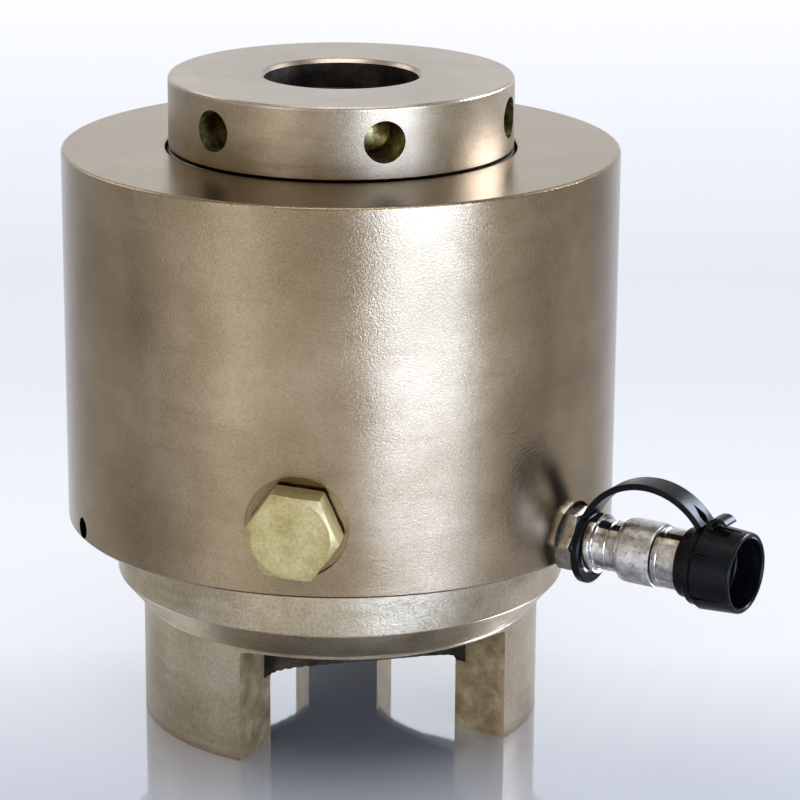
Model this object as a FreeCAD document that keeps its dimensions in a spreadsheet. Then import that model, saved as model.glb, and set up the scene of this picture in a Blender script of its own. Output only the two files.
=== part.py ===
import FreeCAD, Part
import Sketcher
import math
import os
import re

# Hydraulic bolt tensioner, in millimetres.
# The origin is on the tool axis at the plane of the feet, +Z is up, -Y is the front.
# Bearings are degrees about the tool axis, counted from the front towards +X.
# Reaches are distances from the tool axis along a bearing.

doc = FreeCAD.newDocument("BoltTensioner")
sheet = doc.addObject("Spreadsheet::Sheet", "Sizes")

SIZES = [
    # Bridge that stands over the nut
    ("leg_height", 44.4), ("cone_height", 11.2), ("flange_height", 21.0),
    ("window_height", 43.4), ("leg_radius", 74.9), ("flange_radius", 84.3), ("nut_bore", 53.0),
    ("nut_depth", 50.0), ("plate_bore", 50.0), ("plate_thickness", 14.0),
    ("skirt_well", 62.0), ("spigot_height", 10.2), ("spigot_clearance", 0.15),
    ("window_corner", 5.0), ("foot_round", 1.6),
    ("left_leg_from", 279.0), ("left_leg_to", 331.8),
    ("right_leg_from", 55.5), ("right_leg_to", 107.0),
    ("back_leg_from", 165.0), ("back_leg_to", 195.0),
    # Cylinder body
    ("body_radius", 102.5), ("body_length", 140.1), ("cylinder_bore", 80.0),
    ("lip_length", 48.7), ("rim_round", 1.1), ("foot_chamfer", 0.9),
    ("oil_hole", 2.0), ("overcut", 1.0),
    # Set screws that lock the body to the bridge
    ("screw_radius", 4.0), ("screw_above_flange", 4.8), ("screw_length", 10.0),
    ("screw_bearing", 294.0), ("screw_groove_depth", 2.2), ("screw_hex", 4.0),
    # Gland ring and its seals
    ("gland_height", 13.7), ("gland_clearance", 0.15), ("gland_bore_clearance", 0.08),
    ("gland_groove_width", 6.0), ("gland_groove_depth", 5.0),
    ("o_ring_thickness", 4.2), ("o_ring_groove_width", 5.0),
    # Piston and its seals
    ("piston_seat_gap", 0.3), ("piston_head_height", 33.0), ("piston_clearance", 0.08),
    ("skirt_radius", 60.0), ("skirt_length", 25.0), ("piston_bore", 44.8),
    ("neck_radius", 63.9), ("neck_clearance", 0.6), ("oil_relief", 4.0), ("seal_clearance", 0.3),
    ("piston_groove_width", 8.0), ("piston_groove_depth", 6.0), ("piston_groove_rise", 8.0),
    ("backup_width", 2.0), ("guide_width", 9.0), ("guide_thickness", 2.5), ("guide_rise", 20.0),
    ("neck_drop", 0.7),
    # Return springs
    ("disc_count", 6), ("disc_thickness", 2.4), ("disc_inner_clearance", 1.3),
    ("disc_outer_clearance", 1.2), ("disc_gap", 0.05),
    # Wiper in the lip
    ("wiper_height", 6.0), ("wiper_depth", 4.0), ("wiper_below_top", 6.0),
    # Puller
    ("puller_radius", 63.3), ("puller_head_height", 27.0), ("puller_chamfer", 1.4),
    ("puller_mouth", 28.3), ("mouth_depth", 11.0), ("mouth_chamfer", 1.5),
    ("thread_minor_radius", 25.03), ("thread_length", 72.0), ("thread_relief", 29.0),
    ("stem_radius", 44.5), ("stem_tail", 6.5),
    ("ring_groove_depth", 2.0), ("ring_width", 2.5), ("ring_outer_radius", 48.6),
    ("ring_play", 0.3),
    ("tommy_radius", 7.5), ("tommy_depth", 22.0), ("tommy_rise", 14.4),
    ("tommy_bearing", 15.0), ("tommy_count", 6),
    # Blanking plug
    ("plug_bearing", -7.6), ("plug_height", 102.5), ("plug_spot_depth", 2.0),
    ("plug_spot_radius", 18.5), ("plug_flats", 29.5), ("plug_head", 12.5),
    ("plug_thread_radius", 10.45), ("plug_thread_length", 12.0), ("plug_turn", 6.0),
    ("plug_thread_lead", 1.0), ("plug_washer", 1.0),
    ("plug_seal_thickness", 2.0), ("plug_seal_radius", 14.2),
    # Pressure port and hex adaptor
    ("port_bearing", 57.0), ("port_height", 84.0), ("port_spot_depth", 5.5),
    ("port_spot_radius", 13.5), ("port_thread_radius", 4.85), ("port_thread_length", 9.5),
    ("thread_clearance", 0.1), ("port_seal_thickness", 1.5), ("port_seal_radius", 8.8),
    ("adaptor_flats", 21.0), ("adaptor_hex_length", 9.0), ("adaptor_spigot_radius", 6.8),
    ("adaptor_spigot_length", 3.6), ("adaptor_thread_radius", 6.0),
    ("adaptor_thread_length", 7.0), ("adaptor_bore", 2.0),
    # Quick coupler
    ("coupler_flange_radius", 11.0), ("coupler_flange_width", 3.4),
    ("coupler_neck_radius", 9.25), ("coupler_front_radius", 8.0),
    ("coupler_neck_length", 12.0), ("coupler_front_length", 18.5),
    ("valve_wall", 2.0), ("valve_chamber_radius", 5.2),
    ("valve_chamber_length", 9.0), ("valve_seat_radius", 3.4), ("socket_radius", 5.9),
    ("socket_depth", 8.5),
    ("nose_radius", 11.0), ("nose_length", 19.0), ("nose_thread_length", 6.0),
    ("nose_clearance", 0.1), ("nose_mouth_chamfer", 1.2),
    ("nose_ring_groove", 1.6), ("nose_ring_width", 2.2),
    ("sleeve_radius", 11.75), ("sleeve_length", 15.2), ("sleeve_round", 2.4),
    ("sleeve_land_length", 5.2), ("sleeve_clearance", 0.08), ("sleeve_gap", 0.3),
    ("ball_radius", 1.5), ("ball_count", 6), ("ball_behind_nose", 2.0), ("ball_sink", 0.05),
    ("spring_wire", 0.8), ("sleeve_spring_turns", 3),
    ("poppet_radius", 4.9), ("poppet_length", 2.6), ("poppet_tip_radius", 2.6),
    ("poppet_gap", 0.3), ("valve_spring_radius", 3.4), ("valve_spring_turns", 2.5),
    # Dust cap and its strap
    ("cap_over_nose", 9.0), ("cap_clearance", 0.15), ("cap_wall_gap", 0.6),
    ("cap_collar_radius", 12.7), ("cap_collar_width", 4.2), ("cap_waist_radius", 12.3),
    ("cap_waist_width", 3.6), ("cap_radius", 15.5), ("cap_rim_radius", 14.6),
    ("cap_length", 23.0), ("cap_floor", 2.9), ("cap_recess_radius", 12.2),
    ("cap_bead", 0.6), ("cap_bead_width", 1.2), ("cap_flute_width", 1.7),
    ("cap_flute_depth", 0.8), ("cap_flute_count", 6), ("cap_flute_start", 1.0),
    ("cap_flute_stop", 2.6), ("cap_tab_width", 8.0), ("cap_tab_sink", 1.0),
    ("cap_tab_rise", 4.3), ("cap_tab_length", 11.5),
    ("neck_loop_inner", 9.4), ("neck_loop_outer", 12.6), ("neck_loop_width", 2.6),
    ("loop_gap", 0.2), ("cap_loop_thickness", 2.0),
    ("strap_width", 11.0), ("strap_thickness", 3.0), ("strap_arch_rise", 25.3),
]
for row, (alias, number) in enumerate(SIZES, start=1):
    sheet.set(f"A{row}", alias.replace("_", " "))
    sheet.set(f"B{row}", str(number))
    sheet.setAlias(f"B{row}", alias)
doc.recompute()
TOUCH = 1e-4
ALIASES = {alias for alias, number in SIZES}
WORD = re.compile(r"[a-z][a-z_]*[a-z]")


def bound(expression):
    """The expression with every size name pointed at the sheet."""
    return WORD.sub(lambda m: "Sizes." + m.group() if m.group() in ALIASES else m.group(), expression)


def value(expression):
    """The number that the expression gives now."""
    result = sheet.evalExpression(bound(expression))
    return float(getattr(result, "Value", result))


# Heights above the feet
BRIDGE_TOP = "(leg_height + cone_height + flange_height)"
SPIGOT_TOP = f"({BRIDGE_TOP} + spigot_height)"
GLAND_TOP = f"({SPIGOT_TOP} + gland_height)"
PISTON_FOOT = f"({GLAND_TOP} + piston_seat_gap)"
PISTON_SHOULDER = f"({PISTON_FOOT} + piston_head_height)"
SKIRT_FOOT = f"({PISTON_FOOT} - skirt_length)"
BODY_TOP = f"({BRIDGE_TOP} + body_length)"
LIP_UNDERSIDE = f"({BODY_TOP} - lip_length)"
PULLER_SEAT = f"({BODY_TOP} - neck_drop)"
PULLER_TOP = f"({PULLER_SEAT} + puller_head_height)"
SCREW_HEIGHT = f"({BRIDGE_TOP} + screw_above_flange)"

# Radii that follow the piston's neck and the cylinder's bore
LIP_BORE = "(neck_radius + neck_clearance)"
DISC_INNER = "(neck_radius + disc_inner_clearance)"
DISC_OUTER = "(cylinder_bore - disc_outer_clearance)"

# Reaches along the bearings of the two ports
PLUG_SPOT = "(body_radius - plug_spot_depth)"
PORT_SPOT = "(body_radius - port_spot_depth)"
ADAPTOR_SEAT = f"({PORT_SPOT} + port_seal_thickness)"
HEX_END = f"({ADAPTOR_SEAT} + adaptor_hex_length)"
COUPLER_BACK = f"({HEX_END} + adaptor_spigot_length)"
NECK_BACK = f"({COUPLER_BACK} + coupler_flange_width)"
NECK_FRONT = f"({NECK_BACK} + coupler_neck_length)"
COUPLER_FRONT = f"({NECK_FRONT} + coupler_front_length)"
NOSE_BACK = f"({COUPLER_FRONT} - nose_thread_length)"
NOSE_FRONT = f"({NOSE_BACK} + nose_length)"
SLEEVE_FRONT = f"({NOSE_BACK} - sleeve_gap)"
SLEEVE_BACK = f"({SLEEVE_FRONT} - sleeve_length)"
CAP_BACK = f"({NOSE_FRONT} - cap_over_nose)"
CAP_FRONT = f"({CAP_BACK} + cap_length)"


def origin_feature(body, role):
    """One of the body's own origin planes or axes."""
    return next(f for f in body.Origin.OriginFeatures if f.Role == role)


def new_body(label):
    """A body whose own axis is the tool axis."""
    body = doc.addObject("PartDesign::Body", label)
    body.Label = label
    return body


def new_radial_body(label, height="port_height", bearing="port_bearing"):
    """A body whose own Y axis points out of the tool along a bearing, at a height."""
    body = new_body(label)
    turn = FreeCAD.Rotation(FreeCAD.Vector(0, 0, 1), 180 + value(bearing))
    body.Placement = FreeCAD.Placement(FreeCAD.Vector(0, 0, value(height)), turn)
    body.setExpression("Placement.Base.z", bound(height))
    body.setExpression("Placement.Rotation.Angle", bound(f"180 + {bearing}"))
    return body


def add_sketch(body, name, plane, points, lift=None, bearing=None):
    """A closed outline whose corner coordinates are bound to the sheet."""
    sketch = body.newObject("Sketcher::SketchObject", name)
    sketch.AttachmentSupport = (origin_feature(body, plane), [""])
    sketch.MapMode = "FlatFace"
    if bearing is not None:
        turn = FreeCAD.Rotation(FreeCAD.Vector(0, 0, 1), 180 + value(bearing))
        sketch.AttachmentOffset = FreeCAD.Placement(FreeCAD.Vector(0, 0, value(lift)), turn)
        sketch.setExpression("AttachmentOffset.Base.z", bound(lift))
        sketch.setExpression("AttachmentOffset.Rotation.Angle", bound(f"180 + {bearing}"))
    elif lift is not None:
        sketch.AttachmentOffset = FreeCAD.Placement(FreeCAD.Vector(0, 0, value(lift)), FreeCAD.Rotation())
        sketch.setExpression("AttachmentOffset.Base.z", bound(lift))
    corners = [FreeCAD.Vector(value(x), value(y), 0) for x, y in points]
    for number, corner in enumerate(corners):
        sketch.addGeometry(Part.LineSegment(corner, corners[(number + 1) % len(corners)]), False)
    for number in range(len(corners)):
        sketch.addConstraint(Sketcher.Constraint("Coincident", number, 2, (number + 1) % len(corners), 1))
    for number, (x, y) in enumerate(points):
        bind_coordinate(sketch, "DistanceX", -2, number, x, corners[number].x)
        bind_coordinate(sketch, "DistanceY", -1, number, y, corners[number].y)
    return sketch


def bind_coordinate(sketch, kind, axis, number, expression, now, point=1):
    """Holds one coordinate of an edge's first point, or of a circle's centre, at its expression."""
    if abs(now) < 1e-7:
        sketch.addConstraint(Sketcher.Constraint("PointOnObject", number, point, axis))
        return
    index = sketch.addConstraint(Sketcher.Constraint(kind, -1, 1, number, point, now))
    sketch.setExpression(f"Constraints[{index}]", bound(expression))


def revolve(body, name, plane, points):
    """Turns an outline about the body's own axis."""
    sketch = add_sketch(body, name + "Outline", plane, points)
    turned = body.newObject("PartDesign::Revolution", name)
    turned.Profile = sketch
    turned.ReferenceAxis = (sketch, ["V_Axis"])
    turned.Angle = 360
    return turned


def groove(body, name, plane, points, lift=None, bearing=None):
    """Turns an outline about its own vertical axis and cuts it away."""
    sketch = add_sketch(body, name + "Outline", plane, points, lift, bearing)
    cut = body.newObject("PartDesign::Groove", name)
    cut.Profile = sketch
    cut.ReferenceAxis = (sketch, ["V_Axis"])
    cut.Angle = 360
    return cut


def pad(body, name, plane, points, length, lift=None, midplane=False, reverse=False):
    """Pushes an outline out to a length."""
    sketch = add_sketch(body, name + "Outline", plane, points, lift)
    grown = body.newObject("PartDesign::Pad", name)
    grown.Profile = sketch
    grown.setExpression("Length", bound(length))
    grown.Midplane = midplane
    grown.Reversed = reverse
    return grown


def pocket(body, name, plane, points, length, lift=None, reverse=False):
    """Cuts an outline away over a length."""
    sketch = add_sketch(body, name + "Outline", plane, points, lift)
    cut = body.newObject("PartDesign::Pocket", name)
    cut.Profile = sketch
    cut.setExpression("Length", bound(length))
    cut.Reversed = reverse
    return cut


def polar(body, name, feature, role, count):
    """Repeats a feature evenly about one of the body's axes."""
    pattern = body.newObject("PartDesign::PolarPattern", name)
    pattern.Originals = [feature]
    pattern.Axis = (origin_feature(body, role), [""])
    pattern.Angle = 360
    pattern.setExpression("Occurrences", bound(count))
    body.Tip = pattern
    return pattern


def round_edges(body, name, radius, wanted, kind="PartDesign::Fillet"):
    """Rounds or chamfers the edges that the test picks from the body so far."""
    doc.recompute()
    base = body.Tip
    picked = [f"Edge{number}" for number, edge in enumerate(base.Shape.Edges, start=1) if wanted(edge)]
    rounded = body.newObject(kind, name)
    rounded.Base = (base, picked)
    rounded.setExpression("Radius" if kind.endswith("Fillet") else "Size", bound(radius))
    return rounded


def ring(body, name, plane, inner, outer, low, high):
    """A plain ring of rectangular section."""
    return revolve(body, name, plane, [(inner, low), (outer, low), (outer, high), (inner, high)])


def hexagon(flats, turn="0"):
    """Corners of a hexagon with flats at the top and bottom before it is turned."""
    corner_radius = f"({flats} / 2 / cos(30))"
    return [
        (f"{corner_radius} * cos({60 * number} + {turn})", f"{corner_radius} * sin({60 * number} + {turn})")
        for number in range(6)
    ]


def is_circle_at(edge, radius, height):
    """Whether an edge is an arc of this radius in the plane at this height."""
    curve = edge.Curve
    return (
        isinstance(curve, Part.Circle)
        and abs(curve.Radius - value(radius)) < TOUCH
        and all(abs(vertex.Z - value(height)) < TOUCH for vertex in edge.Vertexes)
    )


# Bridge: three legs under a conical shoulder, a flange that carries the cylinder, and a spigot.
bridge = new_body("bridge")
SPIGOT_RADIUS = "(cylinder_bore - spigot_clearance)"
PLATE_TOP = "(nut_depth + plate_thickness)"
GROOVE_FLOOR = f"({SPIGOT_RADIUS} - screw_groove_depth)"
revolve(bridge, "BridgeRing", "XZ_Plane", [
    ("nut_bore", "0"), ("leg_radius", "0"), ("leg_radius", "leg_height"),
    ("flange_radius", "leg_height + cone_height"), ("flange_radius", BRIDGE_TOP),
    (SPIGOT_RADIUS, BRIDGE_TOP),
    (SPIGOT_RADIUS, f"{SCREW_HEIGHT} - screw_radius / 2 - screw_groove_depth * 1.1"),
    (GROOVE_FLOOR, f"{SCREW_HEIGHT} - screw_radius / 2"),
    (GROOVE_FLOOR, f"{SCREW_HEIGHT} + screw_radius / 2"),
    (SPIGOT_RADIUS, f"{SCREW_HEIGHT} + screw_radius / 2 + screw_groove_depth * 1.1"),
    (SPIGOT_RADIUS, f"{SPIGOT_TOP} - foot_chamfer"), (f"{SPIGOT_RADIUS} - foot_chamfer", SPIGOT_TOP),
    ("skirt_well", SPIGOT_TOP), ("skirt_well", PLATE_TOP), ("plate_bore", PLATE_TOP),
    ("plate_bore", "nut_depth"), ("nut_bore", "nut_depth"),
])
WINDOWS = [
    ("FrontWindow", "left_leg_to - 360", "right_leg_from"),
    ("RearRightWindow", "right_leg_to", "back_leg_from"),
    ("RearLeftWindow", "back_leg_to", "left_leg_from"),
]
for name, start, end in WINDOWS:
    far = f"(leg_radius * 1.2 / cos(({end} - ({start})) / 2))"
    pocket(bridge, name, "XY_Plane", [
        ("0", "0"), (f"{far} * sin({start})", f"-{far} * cos({start})"),
        (f"{far} * sin({end})", f"-{far} * cos({end})"),
    ], "window_height", reverse=True)


def is_window_corner(edge):
    """The radial edges where a leg's side meets the top of a window."""
    level = all(abs(vertex.Z - value("window_height")) < TOUCH for vertex in edge.Vertexes)
    return level and isinstance(edge.Curve, Part.Line)


def is_foot_edge(edge):
    """The outer and side edges of each foot, where the real legs are rounded."""
    level = all(abs(vertex.Z) < TOUCH for vertex in edge.Vertexes)
    inner = isinstance(edge.Curve, Part.Circle) and edge.Curve.Radius < value("(nut_bore + leg_radius) / 2")
    return level and not inner


round_edges(bridge, "WindowCorners", "window_corner", is_window_corner)
round_edges(bridge, "FootEdges", "foot_round", is_foot_edge)

# Cylinder body: a thick turned barrel with a lip at the top, bored from below.
cylinder_body = new_body("cylinder_body")
revolve(cylinder_body, "Barrel", "XZ_Plane", [
    ("cylinder_bore", BRIDGE_TOP), ("body_radius - foot_chamfer", BRIDGE_TOP),
    ("body_radius", f"{BRIDGE_TOP} + foot_chamfer"), ("body_radius", BODY_TOP),
    (LIP_BORE, BODY_TOP), (LIP_BORE, f"{BODY_TOP} - wiper_below_top"),
    (f"{LIP_BORE} + wiper_depth", f"{BODY_TOP} - wiper_below_top"),
    (f"{LIP_BORE} + wiper_depth", f"{BODY_TOP} - wiper_below_top - wiper_height"),
    (LIP_BORE, f"{BODY_TOP} - wiper_below_top - wiper_height"),
    (LIP_BORE, LIP_UNDERSIDE), ("cylinder_bore", LIP_UNDERSIDE),
])
round_edges(cylinder_body, "RimRound", "rim_round", lambda edge: is_circle_at(edge, "body_radius", BODY_TOP))
OUTSIDE = "(body_radius * 1.1)"
PLUG_THREAD_END = f"({PLUG_SPOT} + plug_seal_thickness - plug_thread_length - thread_clearance * 8)"
groove(cylinder_body, "PlugPort", "XY_Plane", [
    ("0", OUTSIDE), ("plug_spot_radius", OUTSIDE), ("plug_spot_radius", PLUG_SPOT),
    ("plug_thread_radius + thread_clearance", PLUG_SPOT),
    ("plug_thread_radius + thread_clearance", PLUG_THREAD_END), ("oil_hole", PLUG_THREAD_END),
    ("oil_hole", "cylinder_bore * 0.98"), ("0", "cylinder_bore * 0.98"),
], "plug_height", "plug_bearing")
PORT_THREAD_END = f"({ADAPTOR_SEAT} - port_thread_length - thread_clearance * 8)"
groove(cylinder_body, "PressurePort", "XY_Plane", [
    ("0", OUTSIDE), ("port_spot_radius", OUTSIDE), ("port_spot_radius", PORT_SPOT),
    ("port_thread_radius + thread_clearance", PORT_SPOT),
    ("port_thread_radius + thread_clearance", PORT_THREAD_END),
    ("0", f"{PORT_THREAD_END} - port_thread_radius * 0.6"),
], "port_height", "port_bearing")
for number in range(2):
    groove(cylinder_body, f"ScrewHole{number + 1}", "XY_Plane", [
        ("0", OUTSIDE), ("screw_radius", OUTSIDE),
        ("screw_radius", "cylinder_bore * 0.98"), ("0", "cylinder_bore * 0.98"),
    ], SCREW_HEIGHT, f"screw_bearing + {180 * number}")
# The oil drilling slants up from the bottom of the port into the chamber over the gland.
drill_start_reach = value(f"{PORT_THREAD_END} + oil_hole")
drill_end_reach = value("cylinder_bore - oil_hole")
drill_rise = value(f"{PISTON_FOOT} + oil_hole - port_height")
drill_run = drill_start_reach - drill_end_reach
drill_bearing = math.radians(value("port_bearing"))
inward = FreeCAD.Vector(-math.sin(drill_bearing), math.cos(drill_bearing), 0)
drill_direction = inward * drill_run + FreeCAD.Vector(0, 0, drill_rise)
oil_drilling = cylinder_body.newObject("PartDesign::SubtractiveCylinder", "OilDrilling")
oil_drilling.setExpression("Radius", bound("oil_hole"))
oil_drilling.Height = drill_direction.Length
oil_drilling.AttachmentSupport = (origin_feature(cylinder_body, "XY_Plane"), [""])
oil_drilling.MapMode = "FlatFace"
oil_drilling.AttachmentOffset = FreeCAD.Placement(
    inward * -drill_start_reach + FreeCAD.Vector(0, 0, value("port_height")),
    FreeCAD.Rotation(FreeCAD.Vector(0, 0, 1), drill_direction),
)

# Set screws: two socket screws whose points sit in the groove of the bridge's spigot.
screw_shapes = []
screw_tip = value(f"{GROOVE_FLOOR} + thread_clearance")
screw_end = screw_tip + value("screw_length")
for number in range(2):
    point_height = value("screw_radius / 2")
    shank_radius = value("screw_radius - thread_clearance")
    shank = Part.makeCylinder(shank_radius, screw_end - screw_tip - point_height)
    shank.translate(FreeCAD.Vector(0, 0, screw_tip + point_height))
    point = Part.makeCone(point_height, shank_radius, point_height)
    point.translate(FreeCAD.Vector(0, 0, screw_tip))
    across = value("screw_hex")
    key = [
        FreeCAD.Vector(across / math.sqrt(3) * math.cos(math.radians(60 * n)),
                       across / math.sqrt(3) * math.sin(math.radians(60 * n)), screw_end - across)
        for n in range(6)
    ]
    socket = Part.Face(Part.makePolygon(key + key[:1])).extrude(FreeCAD.Vector(0, 0, 2 * across))
    screw = shank.fuse(point).removeSplitter().cut(socket)
    bearing = value("screw_bearing") + 180 * number
    outward = FreeCAD.Vector(math.sin(math.radians(bearing)), -math.cos(math.radians(bearing)), 0)
    screw.Placement = FreeCAD.Placement(
        FreeCAD.Vector(0, 0, value(SCREW_HEIGHT)), FreeCAD.Rotation(FreeCAD.Vector(0, 0, 1), outward)
    )
    screw_shapes.append(screw)
set_screws = doc.addObject("Part::Feature", "set_screws")
set_screws.Shape = Part.makeCompound(screw_shapes)

# Gland ring: closes the pressure chamber from below and rests on the bridge's spigot.
GLAND_OUTER = "(cylinder_bore - gland_clearance)"
GLAND_INNER = "(skirt_radius + gland_bore_clearance)"
GLAND_MIDDLE = f"({SPIGOT_TOP} + gland_height / 2)"
gland_ring = new_body("gland_ring")
revolve(gland_ring, "Gland", "XZ_Plane", [
    (GLAND_INNER, SPIGOT_TOP), (GLAND_OUTER, SPIGOT_TOP),
    (GLAND_OUTER, f"{GLAND_MIDDLE} - o_ring_groove_width / 2"),
    (f"{GLAND_OUTER} - o_ring_thickness * 0.9", f"{GLAND_MIDDLE} - o_ring_groove_width / 2"),
    (f"{GLAND_OUTER} - o_ring_thickness * 0.9", f"{GLAND_MIDDLE} + o_ring_groove_width / 2"),
    (GLAND_OUTER, f"{GLAND_MIDDLE} + o_ring_groove_width / 2"),
    (GLAND_OUTER, GLAND_TOP), (GLAND_INNER, GLAND_TOP),
    (GLAND_INNER, f"{GLAND_MIDDLE} + gland_groove_width / 2"),
    (f"{GLAND_INNER} + gland_groove_depth", f"{GLAND_MIDDLE} + gland_groove_width / 2"),
    (f"{GLAND_INNER} + gland_groove_depth", f"{GLAND_MIDDLE} - gland_groove_width / 2"),
    (GLAND_INNER, f"{GLAND_MIDDLE} - gland_groove_width / 2"),
])

# Gland O-ring: the static seal against the cylinder bore, squeezed to a flattened ring.
gland_o_ring = new_body("gland_o_ring")
ring(gland_o_ring, "GlandORing", "XZ_Plane", f"{GLAND_OUTER} - o_ring_thickness * 0.9", GLAND_OUTER,
     f"{GLAND_MIDDLE} - o_ring_thickness / 2", f"{GLAND_MIDDLE} + o_ring_thickness / 2")

# Gland rod seal: the lip seal that the piston's skirt slides through.
LIP_NOTCH = "(gland_groove_depth / 4)"
gland_rod_seal = new_body("gland_rod_seal")
SEAL_INNER = "(skirt_radius + seal_clearance)"
SEAL_OUTER = f"({GLAND_INNER} + gland_groove_depth)"
revolve(gland_rod_seal, "RodSeal", "XZ_Plane", [
    (SEAL_INNER, f"{GLAND_MIDDLE} - gland_groove_width / 2"),
    (SEAL_OUTER, f"{GLAND_MIDDLE} - gland_groove_width / 2"),
    (SEAL_OUTER, f"{GLAND_MIDDLE} + gland_groove_width / 2 - piston_seat_gap"),
    (f"({SEAL_INNER} + {SEAL_OUTER}) / 2 + {LIP_NOTCH}",
     f"{GLAND_MIDDLE} + gland_groove_width / 2 - piston_seat_gap"),
    (f"({SEAL_INNER} + {SEAL_OUTER}) / 2", f"{GLAND_MIDDLE}"),
    (f"({SEAL_INNER} + {SEAL_OUTER}) / 2 - {LIP_NOTCH}",
     f"{GLAND_MIDDLE} + gland_groove_width / 2 - piston_seat_gap"),
    (SEAL_INNER, f"{GLAND_MIDDLE} + gland_groove_width / 2 - piston_seat_gap"),
])

# Piston: a stepped ring with a long skirt below, a sealed head and a tall neck that lifts the puller.
PISTON_OUTER = "(cylinder_bore - piston_clearance)"
SEAL_FLOOR = f"({PISTON_OUTER} - piston_groove_depth)"
GUIDE_FLOOR = f"({PISTON_OUTER} - guide_thickness)"
SEAL_LOW = f"({PISTON_FOOT} + piston_groove_rise)"
SEAL_HIGH = f"({SEAL_LOW} + piston_groove_width)"
GUIDE_LOW = f"({PISTON_FOOT} + guide_rise)"
GUIDE_HIGH = f"({GUIDE_LOW} + guide_width)"
piston = new_body("piston")
revolve(piston, "PistonTurning", "XZ_Plane", [
    ("piston_bore", SKIRT_FOOT), ("skirt_radius - foot_chamfer", SKIRT_FOOT),
    ("skirt_radius", f"{SKIRT_FOOT} + foot_chamfer"), ("skirt_radius", PISTON_FOOT),
    (f"{PISTON_OUTER} - oil_relief", PISTON_FOOT), (PISTON_OUTER, f"{PISTON_FOOT} + oil_relief"),
    (PISTON_OUTER, SEAL_LOW), (SEAL_FLOOR, SEAL_LOW), (SEAL_FLOOR, SEAL_HIGH), (PISTON_OUTER, SEAL_HIGH),
    (PISTON_OUTER, GUIDE_LOW), (GUIDE_FLOOR, GUIDE_LOW),
    (GUIDE_FLOOR, GUIDE_HIGH), (PISTON_OUTER, GUIDE_HIGH),
    (PISTON_OUTER, PISTON_SHOULDER), ("neck_radius", PISTON_SHOULDER),
    ("neck_radius", f"{PULLER_SEAT} - foot_chamfer"), ("neck_radius - foot_chamfer", PULLER_SEAT),
    ("piston_bore", PULLER_SEAT),
])

# Piston seal: a grooved ring whose two lips face the oil.
RUNNING_RADIUS = "(cylinder_bore - seal_clearance)"
piston_seal = new_body("piston_seal")
SEAL_TOP = f"({SEAL_HIGH} - backup_width)"
revolve(piston_seal, "PistonSealTurning", "XZ_Plane", [
    (SEAL_FLOOR, SEAL_LOW), (f"({SEAL_FLOOR} + {RUNNING_RADIUS}) / 2 - {LIP_NOTCH}", SEAL_LOW),
    (f"({SEAL_FLOOR} + {RUNNING_RADIUS}) / 2", f"{SEAL_LOW} + piston_groove_width / 3"),
    (f"({SEAL_FLOOR} + {RUNNING_RADIUS}) / 2 + {LIP_NOTCH}", SEAL_LOW),
    (RUNNING_RADIUS, SEAL_LOW), (RUNNING_RADIUS, SEAL_TOP), (SEAL_FLOOR, SEAL_TOP),
])

# Backup ring: stops the seal from creeping into the gap above it.
piston_backup_ring = new_body("piston_backup_ring")
ring(piston_backup_ring, "BackupRing", "XZ_Plane", SEAL_FLOOR, RUNNING_RADIUS, SEAL_TOP, SEAL_HIGH)

# Guide band: the plastic strip that keeps the piston's head off the bore.
piston_guide_band = new_body("piston_guide_band")
ring(piston_guide_band, "GuideBand", "XZ_Plane", GUIDE_FLOOR, RUNNING_RADIUS, GUIDE_LOW, GUIDE_HIGH)

# Return springs: coned discs stacked face to face around the piston's neck.
disc_count = round(value("disc_count"))
stack_foot = value(PISTON_SHOULDER)
disc_pitch = (value(LIP_UNDERSIDE) - stack_foot) / disc_count
disc_thick = value("disc_thickness")
disc_rise = disc_pitch - disc_thick - value("disc_gap")
disc_inner = value(DISC_INNER)
disc_outer = value(DISC_OUTER)
discs = []
for number in range(disc_count):
    low = stack_foot + number * disc_pitch + value("disc_gap") / 2
    inner_low, outer_low = (low + disc_rise, low) if number % 2 == 0 else (low, low + disc_rise)
    section = [
        FreeCAD.Vector(disc_inner, 0, inner_low), FreeCAD.Vector(disc_outer, 0, outer_low),
        FreeCAD.Vector(disc_outer, 0, outer_low + disc_thick),
        FreeCAD.Vector(disc_inner, 0, inner_low + disc_thick),
    ]
    face = Part.Face(Part.makePolygon(section + section[:1]))
    discs.append(face.revolve(FreeCAD.Vector(), FreeCAD.Vector(0, 0, 1), 360))
return_disc_springs = doc.addObject("Part::Feature", "return_disc_springs")
return_disc_springs.Shape = Part.makeCompound(discs)

# Wiper: keeps dirt off the piston's neck.
wiper_ring = new_body("wiper_ring")
ring(wiper_ring, "Wiper", "XZ_Plane", "neck_radius + seal_clearance", f"{LIP_BORE} + wiper_depth",
     f"{BODY_TOP} - wiper_below_top - wiper_height", f"{BODY_TOP} - wiper_below_top")

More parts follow.
